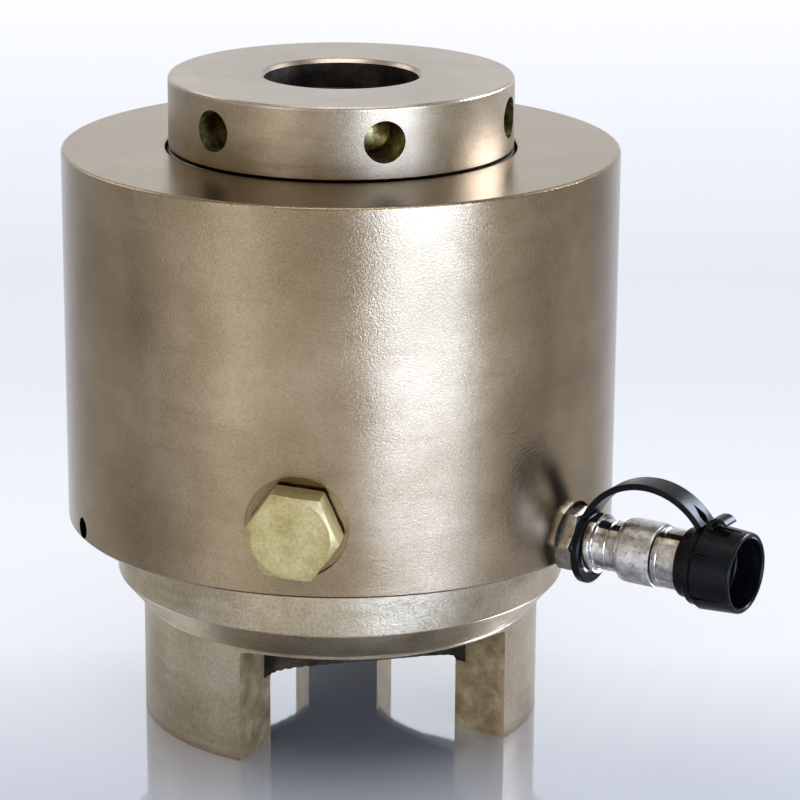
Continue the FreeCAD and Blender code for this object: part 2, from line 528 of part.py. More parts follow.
# Puller: the threaded ring that grips the stud, with a stem down through the piston.
puller = new_body("puller")
STEM_FOOT = f"({SKIRT_FOOT} - ring_play - ring_width - stem_tail + ring_width)"
RING_TOP = f"({SKIRT_FOOT} - ring_play)"
RING_FOOT = f"({RING_TOP} - ring_width)"
RING_FLOOR = "(stem_radius - ring_groove_depth)"
MOUTH_FLOOR = f"({PULLER_TOP} - mouth_depth)"
THREAD_FOOT = f"({MOUTH_FLOOR} - thread_length)"
revolve(puller, "PullerTurning", "XZ_Plane", [
    ("thread_relief", STEM_FOOT), ("stem_radius", STEM_FOOT), ("stem_radius", RING_FOOT),
    (RING_FLOOR, RING_FOOT), (RING_FLOOR, RING_TOP), ("stem_radius", RING_TOP),
    ("stem_radius", PULLER_SEAT), ("puller_radius - puller_chamfer", PULLER_SEAT),
    ("puller_radius", f"{PULLER_SEAT} + puller_chamfer"), ("puller_radius", f"{PULLER_TOP} - puller_chamfer"),
    ("puller_radius - puller_chamfer", PULLER_TOP), ("puller_mouth + mouth_chamfer", PULLER_TOP),
    ("puller_mouth", f"{PULLER_TOP} - mouth_chamfer"), ("puller_mouth", MOUTH_FLOOR),
    ("thread_minor_radius + mouth_chamfer", MOUTH_FLOOR),
    ("thread_minor_radius", f"{MOUTH_FLOOR} - mouth_chamfer"), ("thread_minor_radius", THREAD_FOOT),
    ("thread_relief", f"{THREAD_FOOT} - thread_relief + thread_minor_radius"),
])
TOMMY_FLOOR = "(puller_radius - tommy_depth)"
first_tommy_hole = groove(puller, "TommyHole", "XY_Plane", [
    ("0", "puller_radius * 1.05"), ("tommy_radius", "puller_radius * 1.05"),
    ("tommy_radius", TOMMY_FLOOR), ("0", f"{TOMMY_FLOOR} - tommy_radius * 0.6"),
], f"{PULLER_SEAT} + tommy_rise", "tommy_bearing")
polar(puller, "TommyHoles", first_tommy_hole, "Z_Axis", "tommy_count")

# Retaining ring: holds the puller in the piston.
puller_retaining_ring = new_body("puller_retaining_ring")
ring(puller_retaining_ring, "RetainingRing", "XZ_Plane", RING_FLOOR, "ring_outer_radius", RING_FOOT, RING_TOP)
pocket(puller_retaining_ring, "RingSplit", "XY_Plane", [
    ("-ring_width", "stem_radius * 0.8"), ("ring_width", "stem_radius * 0.8"),
    ("ring_width", "ring_outer_radius * 1.1"), ("-ring_width", "ring_outer_radius * 1.1"),
], f"{RING_TOP} + overcut", reverse=True)

# Blanking plug: closes the second port, a hexagon head on a parallel thread.
PLUG_SEAT = f"({PLUG_SPOT} + plug_seal_thickness)"
PLUG_FACE = f"({PLUG_SEAT} + plug_head)"
PLUG_CORNER = "(plug_flats / 2 / cos(30))"
blanking_plug = new_radial_body("blanking_plug", "plug_height", "plug_bearing")
revolve(blanking_plug, "PlugThread", "XY_Plane", [
    ("0", f"{PLUG_SEAT} - plug_thread_length"),
    ("plug_thread_radius - plug_thread_lead", f"{PLUG_SEAT} - plug_thread_length"),
    ("plug_thread_radius", f"{PLUG_SEAT} - plug_thread_length + plug_thread_lead"),
    ("plug_thread_radius", PLUG_SEAT),
    ("plug_flats * 0.48", PLUG_SEAT), ("plug_flats * 0.48", f"{PLUG_SEAT} + plug_washer"),
    ("0", f"{PLUG_SEAT} + plug_washer"),
])
pad(blanking_plug, "PlugHex", "XZ_Plane", hexagon("plug_flats", "plug_turn"), "plug_head - plug_washer",
    lift=f"-({PLUG_SEAT} + plug_washer)", reverse=True)
groove(blanking_plug, "PlugHexChamfer", "XY_Plane", [
    ("plug_flats * 0.47", f"{PLUG_FACE} + overcut"), ("plug_flats", f"{PLUG_FACE} + overcut"),
    ("plug_flats", f"{PLUG_FACE} - (plug_flats * 0.53) / 2"), ("plug_flats * 0.47", PLUG_FACE),
])

# Plug seal: a bonded washer under the head.
plug_seal = new_radial_body("plug_seal", "plug_height", "plug_bearing")
ring(plug_seal, "PlugSealRing", "XY_Plane", "plug_thread_radius + thread_clearance", "plug_seal_radius",
     PLUG_SPOT, PLUG_SEAT)

# Hex adaptor: screwed into the pressure port, it carries the quick coupler.
ADAPTOR_BACK = f"({ADAPTOR_SEAT} - port_thread_length)"
hex_adaptor = new_radial_body("hex_adaptor")
revolve(hex_adaptor, "AdaptorTurning", "XY_Plane", [
    ("adaptor_bore", ADAPTOR_BACK), ("port_thread_radius", ADAPTOR_BACK),
    ("port_thread_radius", ADAPTOR_SEAT),
    ("adaptor_flats * 0.48", ADAPTOR_SEAT), ("adaptor_flats * 0.48", HEX_END),
    ("adaptor_spigot_radius", HEX_END), ("adaptor_spigot_radius", COUPLER_BACK),
    ("adaptor_thread_radius", COUPLER_BACK),
    ("adaptor_thread_radius", f"{COUPLER_BACK} + adaptor_thread_length"),
    ("adaptor_bore", f"{COUPLER_BACK} + adaptor_thread_length"),
])
hex_pad = pad(hex_adaptor, "AdaptorHex", "XZ_Plane", hexagon("adaptor_flats"), "adaptor_hex_length",
              lift=f"-{ADAPTOR_SEAT}", reverse=True)
groove(hex_adaptor, "AdaptorFrontChamfer", "XY_Plane", [
    ("adaptor_flats * 0.45", HEX_END), ("adaptor_flats * 0.45", f"{HEX_END} + overcut"),
    ("adaptor_flats", f"{HEX_END} + overcut"), ("adaptor_flats", f"{HEX_END} - adaptor_flats * 0.33"),
])
groove(hex_adaptor, "AdaptorBore", "XY_Plane", [
    ("0", f"{ADAPTOR_BACK} - overcut"), ("adaptor_bore", f"{ADAPTOR_BACK} - overcut"),
    ("adaptor_bore", f"{COUPLER_BACK} + adaptor_thread_length + overcut"),
    ("0", f"{COUPLER_BACK} + adaptor_thread_length + overcut"),
])

# Adaptor seal: a bonded washer in the spot face.
adaptor_seal = new_radial_body("adaptor_seal")
ring(adaptor_seal, "AdaptorSealRing", "XY_Plane", "port_thread_radius + thread_clearance", "port_seal_radius",
     PORT_SPOT, ADAPTOR_SEAT)

# Coupler body: the flange, the neck and the valve chamber of the quick coupler.
THREAD_POCKET = f"({COUPLER_BACK} + adaptor_thread_length + thread_clearance * 3)"
CHAMBER_BACK = f"({THREAD_POCKET} + valve_wall)"
CHAMBER_FRONT = f"({CHAMBER_BACK} + valve_chamber_length)"
SEAT_FRONT = f"({CHAMBER_FRONT} + valve_chamber_radius - valve_seat_radius)"
SOCKET_BACK = f"({SEAT_FRONT} + valve_wall / 2)"
BALL_REACH = f"({NOSE_BACK} - ball_behind_nose)"
BALL_OFFSET = "(coupler_front_radius + sleeve_clearance - ball_radius)"
coupler_body = new_radial_body("coupler_body")
revolve(coupler_body, "CouplerTurning", "XY_Plane", [
    ("adaptor_thread_radius + thread_clearance", COUPLER_BACK), ("coupler_flange_radius - 0.8", COUPLER_BACK),
    ("coupler_flange_radius", f"{COUPLER_BACK} + 0.8"), ("coupler_flange_radius", f"{NECK_BACK} - 0.8"),
    ("coupler_flange_radius - 0.8", NECK_BACK), ("coupler_neck_radius", NECK_BACK),
    ("coupler_neck_radius", NECK_FRONT), ("coupler_front_radius", NECK_FRONT),
    ("coupler_front_radius", COUPLER_FRONT), ("socket_radius", COUPLER_FRONT), ("socket_radius", SOCKET_BACK),
    ("valve_seat_radius", SOCKET_BACK), ("valve_seat_radius", SEAT_FRONT),
    ("valve_chamber_radius", CHAMBER_FRONT), ("valve_chamber_radius", CHAMBER_BACK),
    ("adaptor_bore", CHAMBER_BACK), ("adaptor_bore", THREAD_POCKET),
    ("adaptor_thread_radius + thread_clearance", THREAD_POCKET),
])
ball_hole_radius = value("ball_radius + ball_sink")
ball_circle = coupler_body.newObject("Sketcher::SketchObject", "BallHoleOutline")
ball_circle.AttachmentSupport = (origin_feature(coupler_body, "XY_Plane"), [""])
ball_circle.MapMode = "FlatFace"
ball_centre = FreeCAD.Vector(0, value(BALL_REACH), 0)
ball_circle.addGeometry(Part.Circle(ball_centre, FreeCAD.Vector(0, 0, 1), ball_hole_radius), False)
ball_circle.addConstraint(Sketcher.Constraint("PointOnObject", 0, 3, -2))
bind_coordinate(ball_circle, "DistanceY", -1, 0, BALL_REACH, value(BALL_REACH), 3)
radius_index = ball_circle.addConstraint(Sketcher.Constraint("Radius", 0, ball_hole_radius))
ball_circle.setExpression(f"Constraints[{radius_index}]", bound("ball_radius + ball_sink"))
ball_hole = coupler_body.newObject("PartDesign::Pocket", "BallHole")
ball_hole.Profile = ball_circle
ball_hole.setExpression("Length", bound("coupler_front_radius * 2"))
ball_hole.Reversed = True
polar(coupler_body, "BallHoles", ball_hole, "Y_Axis", "ball_count")

# Coupler nose: screwed on the front of the body, it takes the hose's probe.
nose_ring_reach = f"({COUPLER_FRONT} + nose_ring_width * 2)"
coupler_nose = new_radial_body("coupler_nose")
revolve(coupler_nose, "NoseTurning", "XY_Plane", [
    ("coupler_front_radius + nose_clearance", NOSE_BACK), ("nose_radius - 0.5", NOSE_BACK),
    ("nose_radius", f"{NOSE_BACK} + 0.5"), ("nose_radius", f"{NOSE_FRONT} - nose_mouth_chamfer"),
    ("nose_radius - nose_mouth_chamfer", NOSE_FRONT), ("socket_radius + nose_mouth_chamfer", NOSE_FRONT),
    ("socket_radius", f"{NOSE_FRONT} - nose_mouth_chamfer"),
    ("socket_radius", f"{nose_ring_reach} + nose_ring_width"),
    ("socket_radius + nose_ring_groove", f"{nose_ring_reach} + nose_ring_width"),
    ("socket_radius + nose_ring_groove", nose_ring_reach), ("socket_radius", nose_ring_reach),
    ("socket_radius", COUPLER_FRONT), ("coupler_front_radius + nose_clearance", COUPLER_FRONT),
])

# Nose O-ring: seals on the probe.
nose_o_ring = new_radial_body("nose_o_ring")
ring(nose_o_ring, "NoseORing", "XY_Plane", "socket_radius", "socket_radius + nose_ring_groove",
     f"{nose_ring_reach} + 0.1", f"{nose_ring_reach} + nose_ring_width - 0.1")

# Locking sleeve: pulled back by hand, it lets the balls move out.
LAND_BACK = f"({SLEEVE_FRONT} - sleeve_land_length)"
locking_sleeve = new_radial_body("locking_sleeve")
revolve(locking_sleeve, "SleeveTurning", "XY_Plane", [
    ("coupler_neck_radius + sleeve_clearance", SLEEVE_BACK), ("sleeve_radius - sleeve_round", SLEEVE_BACK),
    ("sleeve_radius - sleeve_round * 0.3", f"{SLEEVE_BACK} + sleeve_round * 0.3"),
    ("sleeve_radius", f"{SLEEVE_BACK} + sleeve_round"), ("sleeve_radius", f"{SLEEVE_FRONT} - 0.4"),
    ("sleeve_radius - 0.4", SLEEVE_FRONT), ("coupler_front_radius + sleeve_clearance", SLEEVE_FRONT),
    ("coupler_front_radius + sleeve_clearance", LAND_BACK),
    ("coupler_neck_radius + sleeve_clearance", LAND_BACK),
])


def coil(mean_radius, wire, back, front, turns):
    """A spring of square wire about the Y axis between two reaches."""
    pitch = (front - back - wire) / turns
    path = Part.makeHelix(pitch, front - back - wire, mean_radius)
    half = wire / 2
    square = [
        FreeCAD.Vector(mean_radius - half, 0, -half), FreeCAD.Vector(mean_radius + half, 0, -half),
        FreeCAD.Vector(mean_radius + half, 0, half), FreeCAD.Vector(mean_radius - half, 0, half),
    ]
    profile = Part.makePolygon(square + square[:1])
    swept = Part.Wire(path.Edges).makePipeShell([profile], True, True)
    swept.rotate(FreeCAD.Vector(), FreeCAD.Vector(1, 0, 0), -90)
    swept.translate(FreeCAD.Vector(0, back + half, 0))
    return Part.makeCompound([swept])


def place_along_port(feature):
    """Puts a shape made about the Y axis on the coupler's axis."""
    turn = FreeCAD.Rotation(FreeCAD.Vector(0, 0, 1), 180 + value("port_bearing"))
    feature.Placement = FreeCAD.Placement(FreeCAD.Vector(0, 0, value("port_height")), turn)


# Sleeve spring: pushes the sleeve forward against the nose.
sleeve_spring = doc.addObject("Part::Feature", "sleeve_spring")
sleeve_spring.Shape = coil(
    value("(coupler_front_radius + coupler_neck_radius) / 2"), value("spring_wire"),
    value(f"{NECK_FRONT} + 0.05"), value(f"{LAND_BACK} - 0.05"), value("sleeve_spring_turns"),
)
place_along_port(sleeve_spring)

# Locking balls: six, held in by the sleeve's land.
balls = []
for number in range(round(value("ball_count"))):
    ball = Part.makeSphere(value("ball_radius - ball_sink"))
    ball.translate(FreeCAD.Vector(0, value(BALL_REACH), value(BALL_OFFSET)))
    ball.rotate(FreeCAD.Vector(), FreeCAD.Vector(0, 1, 0), 360 * number / value("ball_count"))
    balls.append(ball)
locking_balls = doc.addObject("Part::Feature", "locking_balls")
locking_balls.Shape = Part.makeCompound(balls)
place_along_port(locking_balls)

# Valve poppet: shuts the coupler until a probe pushes it in.
POPPET_SHOULDER = f"({SEAT_FRONT} - valve_seat_radius + poppet_tip_radius - poppet_gap)"
valve_poppet = new_radial_body("valve_poppet")
POPPET_FRONT = f"({CHAMBER_FRONT} - poppet_gap)"
revolve(valve_poppet, "PoppetTurning", "XY_Plane", [
    ("0", f"{POPPET_FRONT} - poppet_length"), ("poppet_radius", f"{POPPET_FRONT} - poppet_length"),
    ("poppet_radius", POPPET_FRONT),
    ("poppet_tip_radius", f"{POPPET_FRONT} + poppet_radius - poppet_tip_radius"),
    ("poppet_tip_radius", f"{SOCKET_BACK} + poppet_gap"), ("0", f"{SOCKET_BACK} + poppet_gap"),
])

# Valve spring: closes the poppet.
valve_spring = doc.addObject("Part::Feature", "valve_spring")
valve_spring.Shape = coil(
    value("valve_spring_radius"), value("spring_wire"), value(f"{CHAMBER_BACK} + 0.05"),
    value(f"{POPPET_FRONT} - poppet_length - 0.05"), value("valve_spring_turns"),
)
place_along_port(valve_spring)

# Dust cap: a moulded rubber cap pushed over the nose, with an open recess at its outer end.
WAIST_BACK = f"({CAP_BACK} + cap_collar_width)"
WAIST_FRONT = f"({WAIST_BACK} + cap_waist_width)"
CAP_BORE_END = f"({NOSE_FRONT} + cap_wall_gap)"
RECESS_FLOOR = f"({CAP_BORE_END} + cap_floor)"
BEAD_BACK = f"(({RECESS_FLOOR} + {CAP_FRONT}) / 2 - cap_bead_width / 2)"
dust_cap = new_radial_body("dust_cap")
revolve(dust_cap, "CapTurning", "XY_Plane", [
    ("nose_radius + cap_clearance", CAP_BACK), ("cap_collar_radius - 0.6", CAP_BACK),
    ("cap_collar_radius", f"{CAP_BACK} + 0.8"), ("cap_collar_radius", WAIST_BACK),
    ("cap_waist_radius", WAIST_BACK), ("cap_waist_radius", WAIST_FRONT),
    ("cap_radius - 0.7", WAIST_FRONT), ("cap_radius", f"{WAIST_FRONT} + 0.9"),
    ("cap_rim_radius", f"{CAP_FRONT} - 0.7"), ("cap_rim_radius - 0.6", CAP_FRONT),
    ("cap_recess_radius + 0.6", CAP_FRONT), ("cap_recess_radius", f"{CAP_FRONT} - 0.7"),
    ("cap_recess_radius", f"{BEAD_BACK} + cap_bead_width"),
    ("cap_recess_radius - cap_bead", f"{BEAD_BACK} + cap_bead_width / 2"), ("cap_recess_radius", BEAD_BACK),
    ("cap_recess_radius", RECESS_FLOOR), ("0", RECESS_FLOOR), ("0", CAP_BORE_END),
    ("nose_radius + cap_clearance", CAP_BORE_END),
])
flute = pocket(dust_cap, "GripFlute", "XZ_Plane", [
    ("-cap_flute_width / 2", "cap_rim_radius - cap_flute_depth"),
    ("cap_flute_width / 2", "cap_rim_radius - cap_flute_depth"),
    ("cap_flute_width / 2", "cap_radius * 1.1"), ("-cap_flute_width / 2", "cap_radius * 1.1"),
], "cap_length - cap_collar_width - cap_waist_width - cap_flute_stop",
    lift=f"-({WAIST_FRONT} + cap_flute_start)")
polar(dust_cap, "GripFlutes", flute, "Y_Axis", "cap_flute_count")
TAB_BACK = f"({WAIST_FRONT} + 0.6)"
TAB_ROOT = "(cap_rim_radius - cap_tab_sink)"
pad(dust_cap, "LiftTab", "YZ_Plane", [
    (TAB_BACK, TAB_ROOT), (TAB_BACK, "cap_radius"),
    (f"{TAB_BACK} + cap_tab_length * 0.2", "cap_radius + cap_tab_rise * 0.5"),
    (f"{TAB_BACK} + cap_tab_length * 0.45", "cap_radius + cap_tab_rise * 0.95"),
    (f"{TAB_BACK} + cap_tab_length * 0.65", "cap_radius + cap_tab_rise"),
    (f"{TAB_BACK} + cap_tab_length * 0.85", "cap_radius + cap_tab_rise * 0.75"),
    (f"{TAB_BACK} + cap_tab_length", "cap_radius + cap_tab_rise * 0.1"),
    (f"{TAB_BACK} + cap_tab_length", TAB_ROOT),
], "cap_tab_width", midplane=True)

# Strap: a moulded rubber band with a loop around the adaptor's spigot and one around the cap.
LOOP_DROP = "(neck_loop_inner - adaptor_spigot_radius - loop_gap)"
LOOP_MIDDLE = f"({HEX_END} + adaptor_spigot_length / 2)"
strap_neck_ring = new_radial_body("strap_neck_ring", f"port_height - {LOOP_DROP}")
ring(strap_neck_ring, "NeckLoop", "XY_Plane", "neck_loop_inner", "neck_loop_outer",
     f"{LOOP_MIDDLE} - neck_loop_width / 2", f"{LOOP_MIDDLE} + neck_loop_width / 2")

CAP_LOOP_OUTER = "(cap_waist_radius + loop_gap + cap_loop_thickness)"
strap_cap_ring = new_radial_body("strap_cap_ring")
ring(strap_cap_ring, "CapLoop", "XY_Plane", "cap_waist_radius + loop_gap / 2", CAP_LOOP_OUTER,
     f"{WAIST_BACK} + loop_gap", f"{WAIST_FRONT} - loop_gap")

start_reach = value(LOOP_MIDDLE)
start_rise = value(f"neck_loop_outer - {LOOP_DROP}")
end_reach = value(f"({WAIST_BACK} + {WAIST_FRONT}) / 2")
end_rise = value(CAP_LOOP_OUTER)
arch_rise = value("strap_arch_rise")
half_thick = value("strap_thickness / 2")
middle_reach = (start_reach + end_reach) / 2 - value("strap_thickness")
path_start = FreeCAD.Vector(0, start_reach, start_rise + half_thick * 0.2)
path_top = FreeCAD.Vector(0, middle_reach, arch_rise)
path_end = FreeCAD.Vector(0, end_reach, end_rise + half_thick * 0.2)
arch = Part.Arc(path_start, path_top, path_end).toShape().Curve
arch_centre = arch.Center
arch_radius = arch.Radius


def on_arch(point, radius):
    """The point at this radius from the arch's centre, in the direction of a point of the arch."""
    return arch_centre + (point - arch_centre).normalize() * radius


outer_radius = arch_radius + half_thick
inner_radius = arch_radius - half_thick
outer_points = [on_arch(point, outer_radius) for point in (path_start, path_top, path_end)]
inner_points = [on_arch(point, inner_radius) for point in (path_start, path_top, path_end)]
band_edges = [
    Part.Arc(*outer_points).toShape(), Part.makeLine(outer_points[2], inner_points[2]),
    Part.Arc(*inner_points).toShape(), Part.makeLine(inner_points[0], outer_points[0]),
]
band_face = Part.Face(Part.Wire(Part.__sortEdges__(band_edges)))
strap_width = value("strap_width")
band = band_face.extrude(FreeCAD.Vector(strap_width, 0, 0))
band.translate(FreeCAD.Vector(-strap_width / 2, 0, 0))
loop_clearance = value("loop_gap / 2")
neck_room_depth = value("neck_loop_width * 8")
cap_room_depth = value("cap_waist_width * 6")
neck_loop_room = Part.makeCylinder(
    value("neck_loop_outer") + loop_clearance, neck_room_depth,
    FreeCAD.Vector(0, start_reach - neck_room_depth / 2, -value(LOOP_DROP)), FreeCAD.Vector(0, 1, 0),
)
cap_loop_room = Part.makeCylinder(
    value(CAP_LOOP_OUTER) + loop_clearance, cap_room_depth,
    FreeCAD.Vector(0, end_reach - cap_room_depth / 2, 0), FreeCAD.Vector(0, 1, 0),
)
strap = doc.addObject("Part::Feature", "strap")
strap.Shape = band.cut(neck_loop_room).cut(cap_loop_room)
place_along_port(strap)

doc.recompute()

SUB_PARTS = [
    bridge, cylinder_body, set_screws, gland_ring, gland_o_ring, gland_rod_seal, piston, piston_seal,
    piston_backup_ring, piston_guide_band, return_disc_springs, wiper_ring, puller, puller_retaining_ring,
    blanking_plug, plug_seal, hex_adaptor, adaptor_seal, coupler_body, coupler_nose, nose_o_ring,
    locking_sleeve, sleeve_spring, locking_balls, valve_poppet, valve_spring, dust_cap,
    strap_neck_ring, strap_cap_ring, strap,
]
for item in doc.Objects:
    if "Invalid" in item.State or "Error" in item.State:
        raise RuntimeError(f"{item.Label} failed: {item.State}")
os.makedirs("parts", exist_ok=True)
for item in SUB_PARTS:
    shape = item.Shape
    if shape.isNull() or not shape.isValid() or not shape.Solids:
        raise RuntimeError(f"{item.Label} has no valid solid")
    shape.exportStep(f"parts/{item.Label}.step")
    print(item.Label, len(shape.Solids), round(shape.Volume, 1))
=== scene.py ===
import math
import bpy
from mathutils import Matrix, Vector


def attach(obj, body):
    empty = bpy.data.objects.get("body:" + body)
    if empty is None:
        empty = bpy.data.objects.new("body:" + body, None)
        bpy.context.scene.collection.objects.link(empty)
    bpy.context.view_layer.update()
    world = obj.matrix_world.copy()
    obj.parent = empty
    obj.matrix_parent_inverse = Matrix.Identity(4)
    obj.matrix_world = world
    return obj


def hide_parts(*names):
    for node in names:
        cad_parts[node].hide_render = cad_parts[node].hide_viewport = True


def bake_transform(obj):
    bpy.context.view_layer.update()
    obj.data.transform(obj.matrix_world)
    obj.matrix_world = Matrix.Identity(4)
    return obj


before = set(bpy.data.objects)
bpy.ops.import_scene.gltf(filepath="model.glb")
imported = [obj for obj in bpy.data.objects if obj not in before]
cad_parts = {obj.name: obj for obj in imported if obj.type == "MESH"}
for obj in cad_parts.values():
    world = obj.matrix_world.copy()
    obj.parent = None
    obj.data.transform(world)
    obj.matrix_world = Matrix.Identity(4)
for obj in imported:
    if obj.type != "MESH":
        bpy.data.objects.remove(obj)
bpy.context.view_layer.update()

MM = 0.001

# Camera.
# It stands 1.17 m in front of the tool, a little to the right, and looks down on it by 16.6 degrees.
camera_data = bpy.data.cameras.new("camera")
camera_data.sensor_width = 36.0
focal_pixels = 3253.8
picture_pixels = 800.0
camera_data.lens = camera_data.sensor_width * focal_pixels / picture_pixels
camera = bpy.data.objects.new("camera", camera_data)
bpy.context.scene.collection.objects.link(camera)
camera.location = (22.2 * MM, -1170.8 * MM, 467.4 * MM)
looks_down = Matrix.Rotation(math.radians(90.0 - 16.58), 3, "X")
leans = Matrix.Rotation(math.radians(0.408), 3, "Z")
camera.rotation_euler = (looks_down @ leans).to_euler()
bpy.context.scene.camera = camera
bpy.context.scene.view_settings.view_transform = "Standard"


# Floor.
# A sheet of white acrylic glass: it mirrors the legs and the bright wall behind, and takes a soft shadow.
# Its white cools towards the near edge of the view, where the sheet is also duller, and just in front of the
# legs it is darkened as a painted shadow.
def linear(hex_colour):
    """An sRGB colour such as 9A8F7E as the linear values that a shader takes."""
    channels = [int(hex_colour[i:i + 2], 16) / 255.0 for i in (0, 2, 4)]
    return tuple(c / 12.92 if c <= 0.04045 else ((c + 0.055) / 1.055) ** 2.4 for c in channels) + (1.0,)


def add_node(tree, kind, settings=None, **links):
    """Adds a node, sets its properties, sockets and colour stops, and links the sockets given as outputs."""
    node = tree.nodes.new(kind)
    for key, value in (settings or {}).items():
        if key == "stops":
            elements = node.color_ramp.elements
            while len(elements) < len(value):
                elements.new(0.5)
            for element, (position, colour) in zip(elements, value):
                element.position = position
                element.color = linear(colour)
        elif key in node.inputs:
            node.inputs[key].default_value = value
        else:
            setattr(node, key, value)
    for key, output in links.items():
        socket = node.inputs[int(key[1:])] if key[1:].isdigit() else node.inputs[key.replace("_", " ")]
        tree.links.new(output, socket)
    return node


def new_material(name):
    """An empty node material and its tree."""
    material = bpy.data.materials.new(name)
    material.use_nodes = True
    material.node_tree.nodes.clear()
    return material, material.node_tree


acrylic, tree = new_material("white_acrylic_sheet")
place = add_node(tree, "ShaderNodeTexCoord")
apart = add_node(tree, "ShaderNodeSeparateXYZ", None, Vector=place.outputs["Object"])
depth = add_node(tree, "ShaderNodeMapRange", {"From Min": -0.6, "From Max": 1.65}, Value=apart.outputs["Y"])
# The dark stop at 0.213 lies just in front of the legs and is a painted shadow.
sheet_white_and_painted_shadow = add_node(tree, "ShaderNodeValToRGB", {"stops": [
    (0.0, "FFFFFF"), (0.156, "F4F5F8"), (0.213, "C4C7D1"), (0.24, "D6D9E2"), (0.289, "F2F4F8"),
    (0.351, "F2F4F8"), (0.458, "E6E9F1"), (0.56, "E4E7F0"), (0.80, "F4F6FB"), (1.0, "FFFFFF"),
]}, Fac=depth.outputs["Result"])
body_white = add_node(tree, "ShaderNodeBsdfDiffuse", None, Color=sheet_white_and_painted_shadow.outputs["Color"])
polish = add_node(tree, "ShaderNodeBsdfGlossy", {"Roughness": 0.05}, Color=sheet_white_and_painted_shadow.outputs["Color"])
gloss = add_node(tree, "ShaderNodeMapRange", {
    "From Min": -0.12, "From Max": -0.05, "To Min": 0.42, "To Max": 0.74,
}, Value=apart.outputs["Y"])
mirror_share = add_node(tree, "ShaderNodeMixShader", None, _0=gloss.outputs["Result"],
                        _1=body_white.outputs[0], _2=polish.outputs[0])
add_node(tree, "ShaderNodeOutputMaterial", None, Surface=mirror_share.outputs[0])

bpy.ops.object.select_all(action="DESELECT")
bpy.ops.mesh.primitive_plane_add(size=14.0, location=(0, 0, 0))
floor = bpy.context.object
floor.name = "floor"
floor.data.materials.append(acrylic)


# Studio light.
# White walls all round, brightest behind the tool. A large softbox to the right of the camera gives the
# highlight. Others stand to the left, overhead and behind, and a small one lights the puller's right side.
world = bpy.data.worlds.new("studio")
bpy.context.scene.world = world
world.use_nodes = True
tree = world.node_tree
tree.nodes.clear()
place = add_node(tree, "ShaderNodeTexCoord")
apart = add_node(tree, "ShaderNodeSeparateXYZ", None, Vector=place.outputs["Generated"])
facing = add_node(tree, "ShaderNodeMapRange", {"From Min": -1.0, "From Max": 1.0}, Value=apart.outputs["Y"])
wall_tone = add_node(tree, "ShaderNodeValToRGB", {"stops": [
    (0.0, "DAD3C6"), (0.5, "C6C0B6"), (0.86, "BDBBB8"), (0.95, "F8FAFD"), (1.0, "FFFFFF"),
]}, Fac=facing.outputs["Result"])
ray = add_node(tree, "ShaderNodeLightPath")
wall = add_node(tree, "ShaderNodeBackground", {"Strength": 1.0}, Color=wall_tone.outputs["Color"])
fill = add_node(tree, "ShaderNodeBackground", {"Color": linear("F6F8FC"), "Strength": 0.88})
mirrored = add_node(tree, "ShaderNodeMixShader", None, _0=ray.outputs["Is Glossy Ray"],
                    _1=fill.outputs[0], _2=wall.outputs[0])
backdrop = add_node(tree, "ShaderNodeBackground", {"Color": linear("F6F7FB"), "Strength": 1.0})
light = add_node(tree, "ShaderNodeMixShader", None, _0=ray.outputs["Is Camera Ray"],
                 _1=mirrored.outputs[0], _2=backdrop.outputs[0])
add_node(tree, "ShaderNodeOutputWorld", None, Surface=light.outputs[0])


def softbox(name, bearing, distance, height, width, tall, watts, colour="FFFFFF"):
    """A rectangular lamp that stands at a bearing from the front and faces the tool's middle."""
    lamp = bpy.data.lights.new(name, "AREA")
    lamp.shape = "RECTANGLE"
    lamp.size = width
    lamp.size_y = tall
    lamp.energy = watts
    lamp.color = linear(colour)[:3]
    stand = bpy.data.objects.new(name, lamp)
    bpy.context.scene.collection.objects.link(stand)
    angle = math.radians(bearing)
    stand.location = (distance * math.sin(angle), -distance * math.cos(angle), height)
    aim = Vector((0, 0, 0.12)) - stand.location
    stand.rotation_euler = aim.to_track_quat("-Z", "Y").to_euler()
    stand.visible_camera = False
    return stand


softbox("key_softbox", 33.5, 1.3, 0.19, 0.86, 0.36, 12.0, "BAD2FF")
softbox("left_softbox", -40, 1.5, 0.28, 0.6, 0.5, 1.4, "F2F6FF")
softbox("rear_left_softbox", -125, 1.6, 1.3, 0.9, 0.9, 5.0)
softbox("rear_right_softbox", 125, 1.6, 1.3, 0.9, 0.9, 5.0)
softbox("overhead_softbox", 10, 0.35, 1.6, 1.1, 1.1, 9.0)
side = softbox("side_softbox", 105, 0.45, 0.33, 0.26, 0.12, 2.8, "DCE6FF")
side.visible_diffuse = False


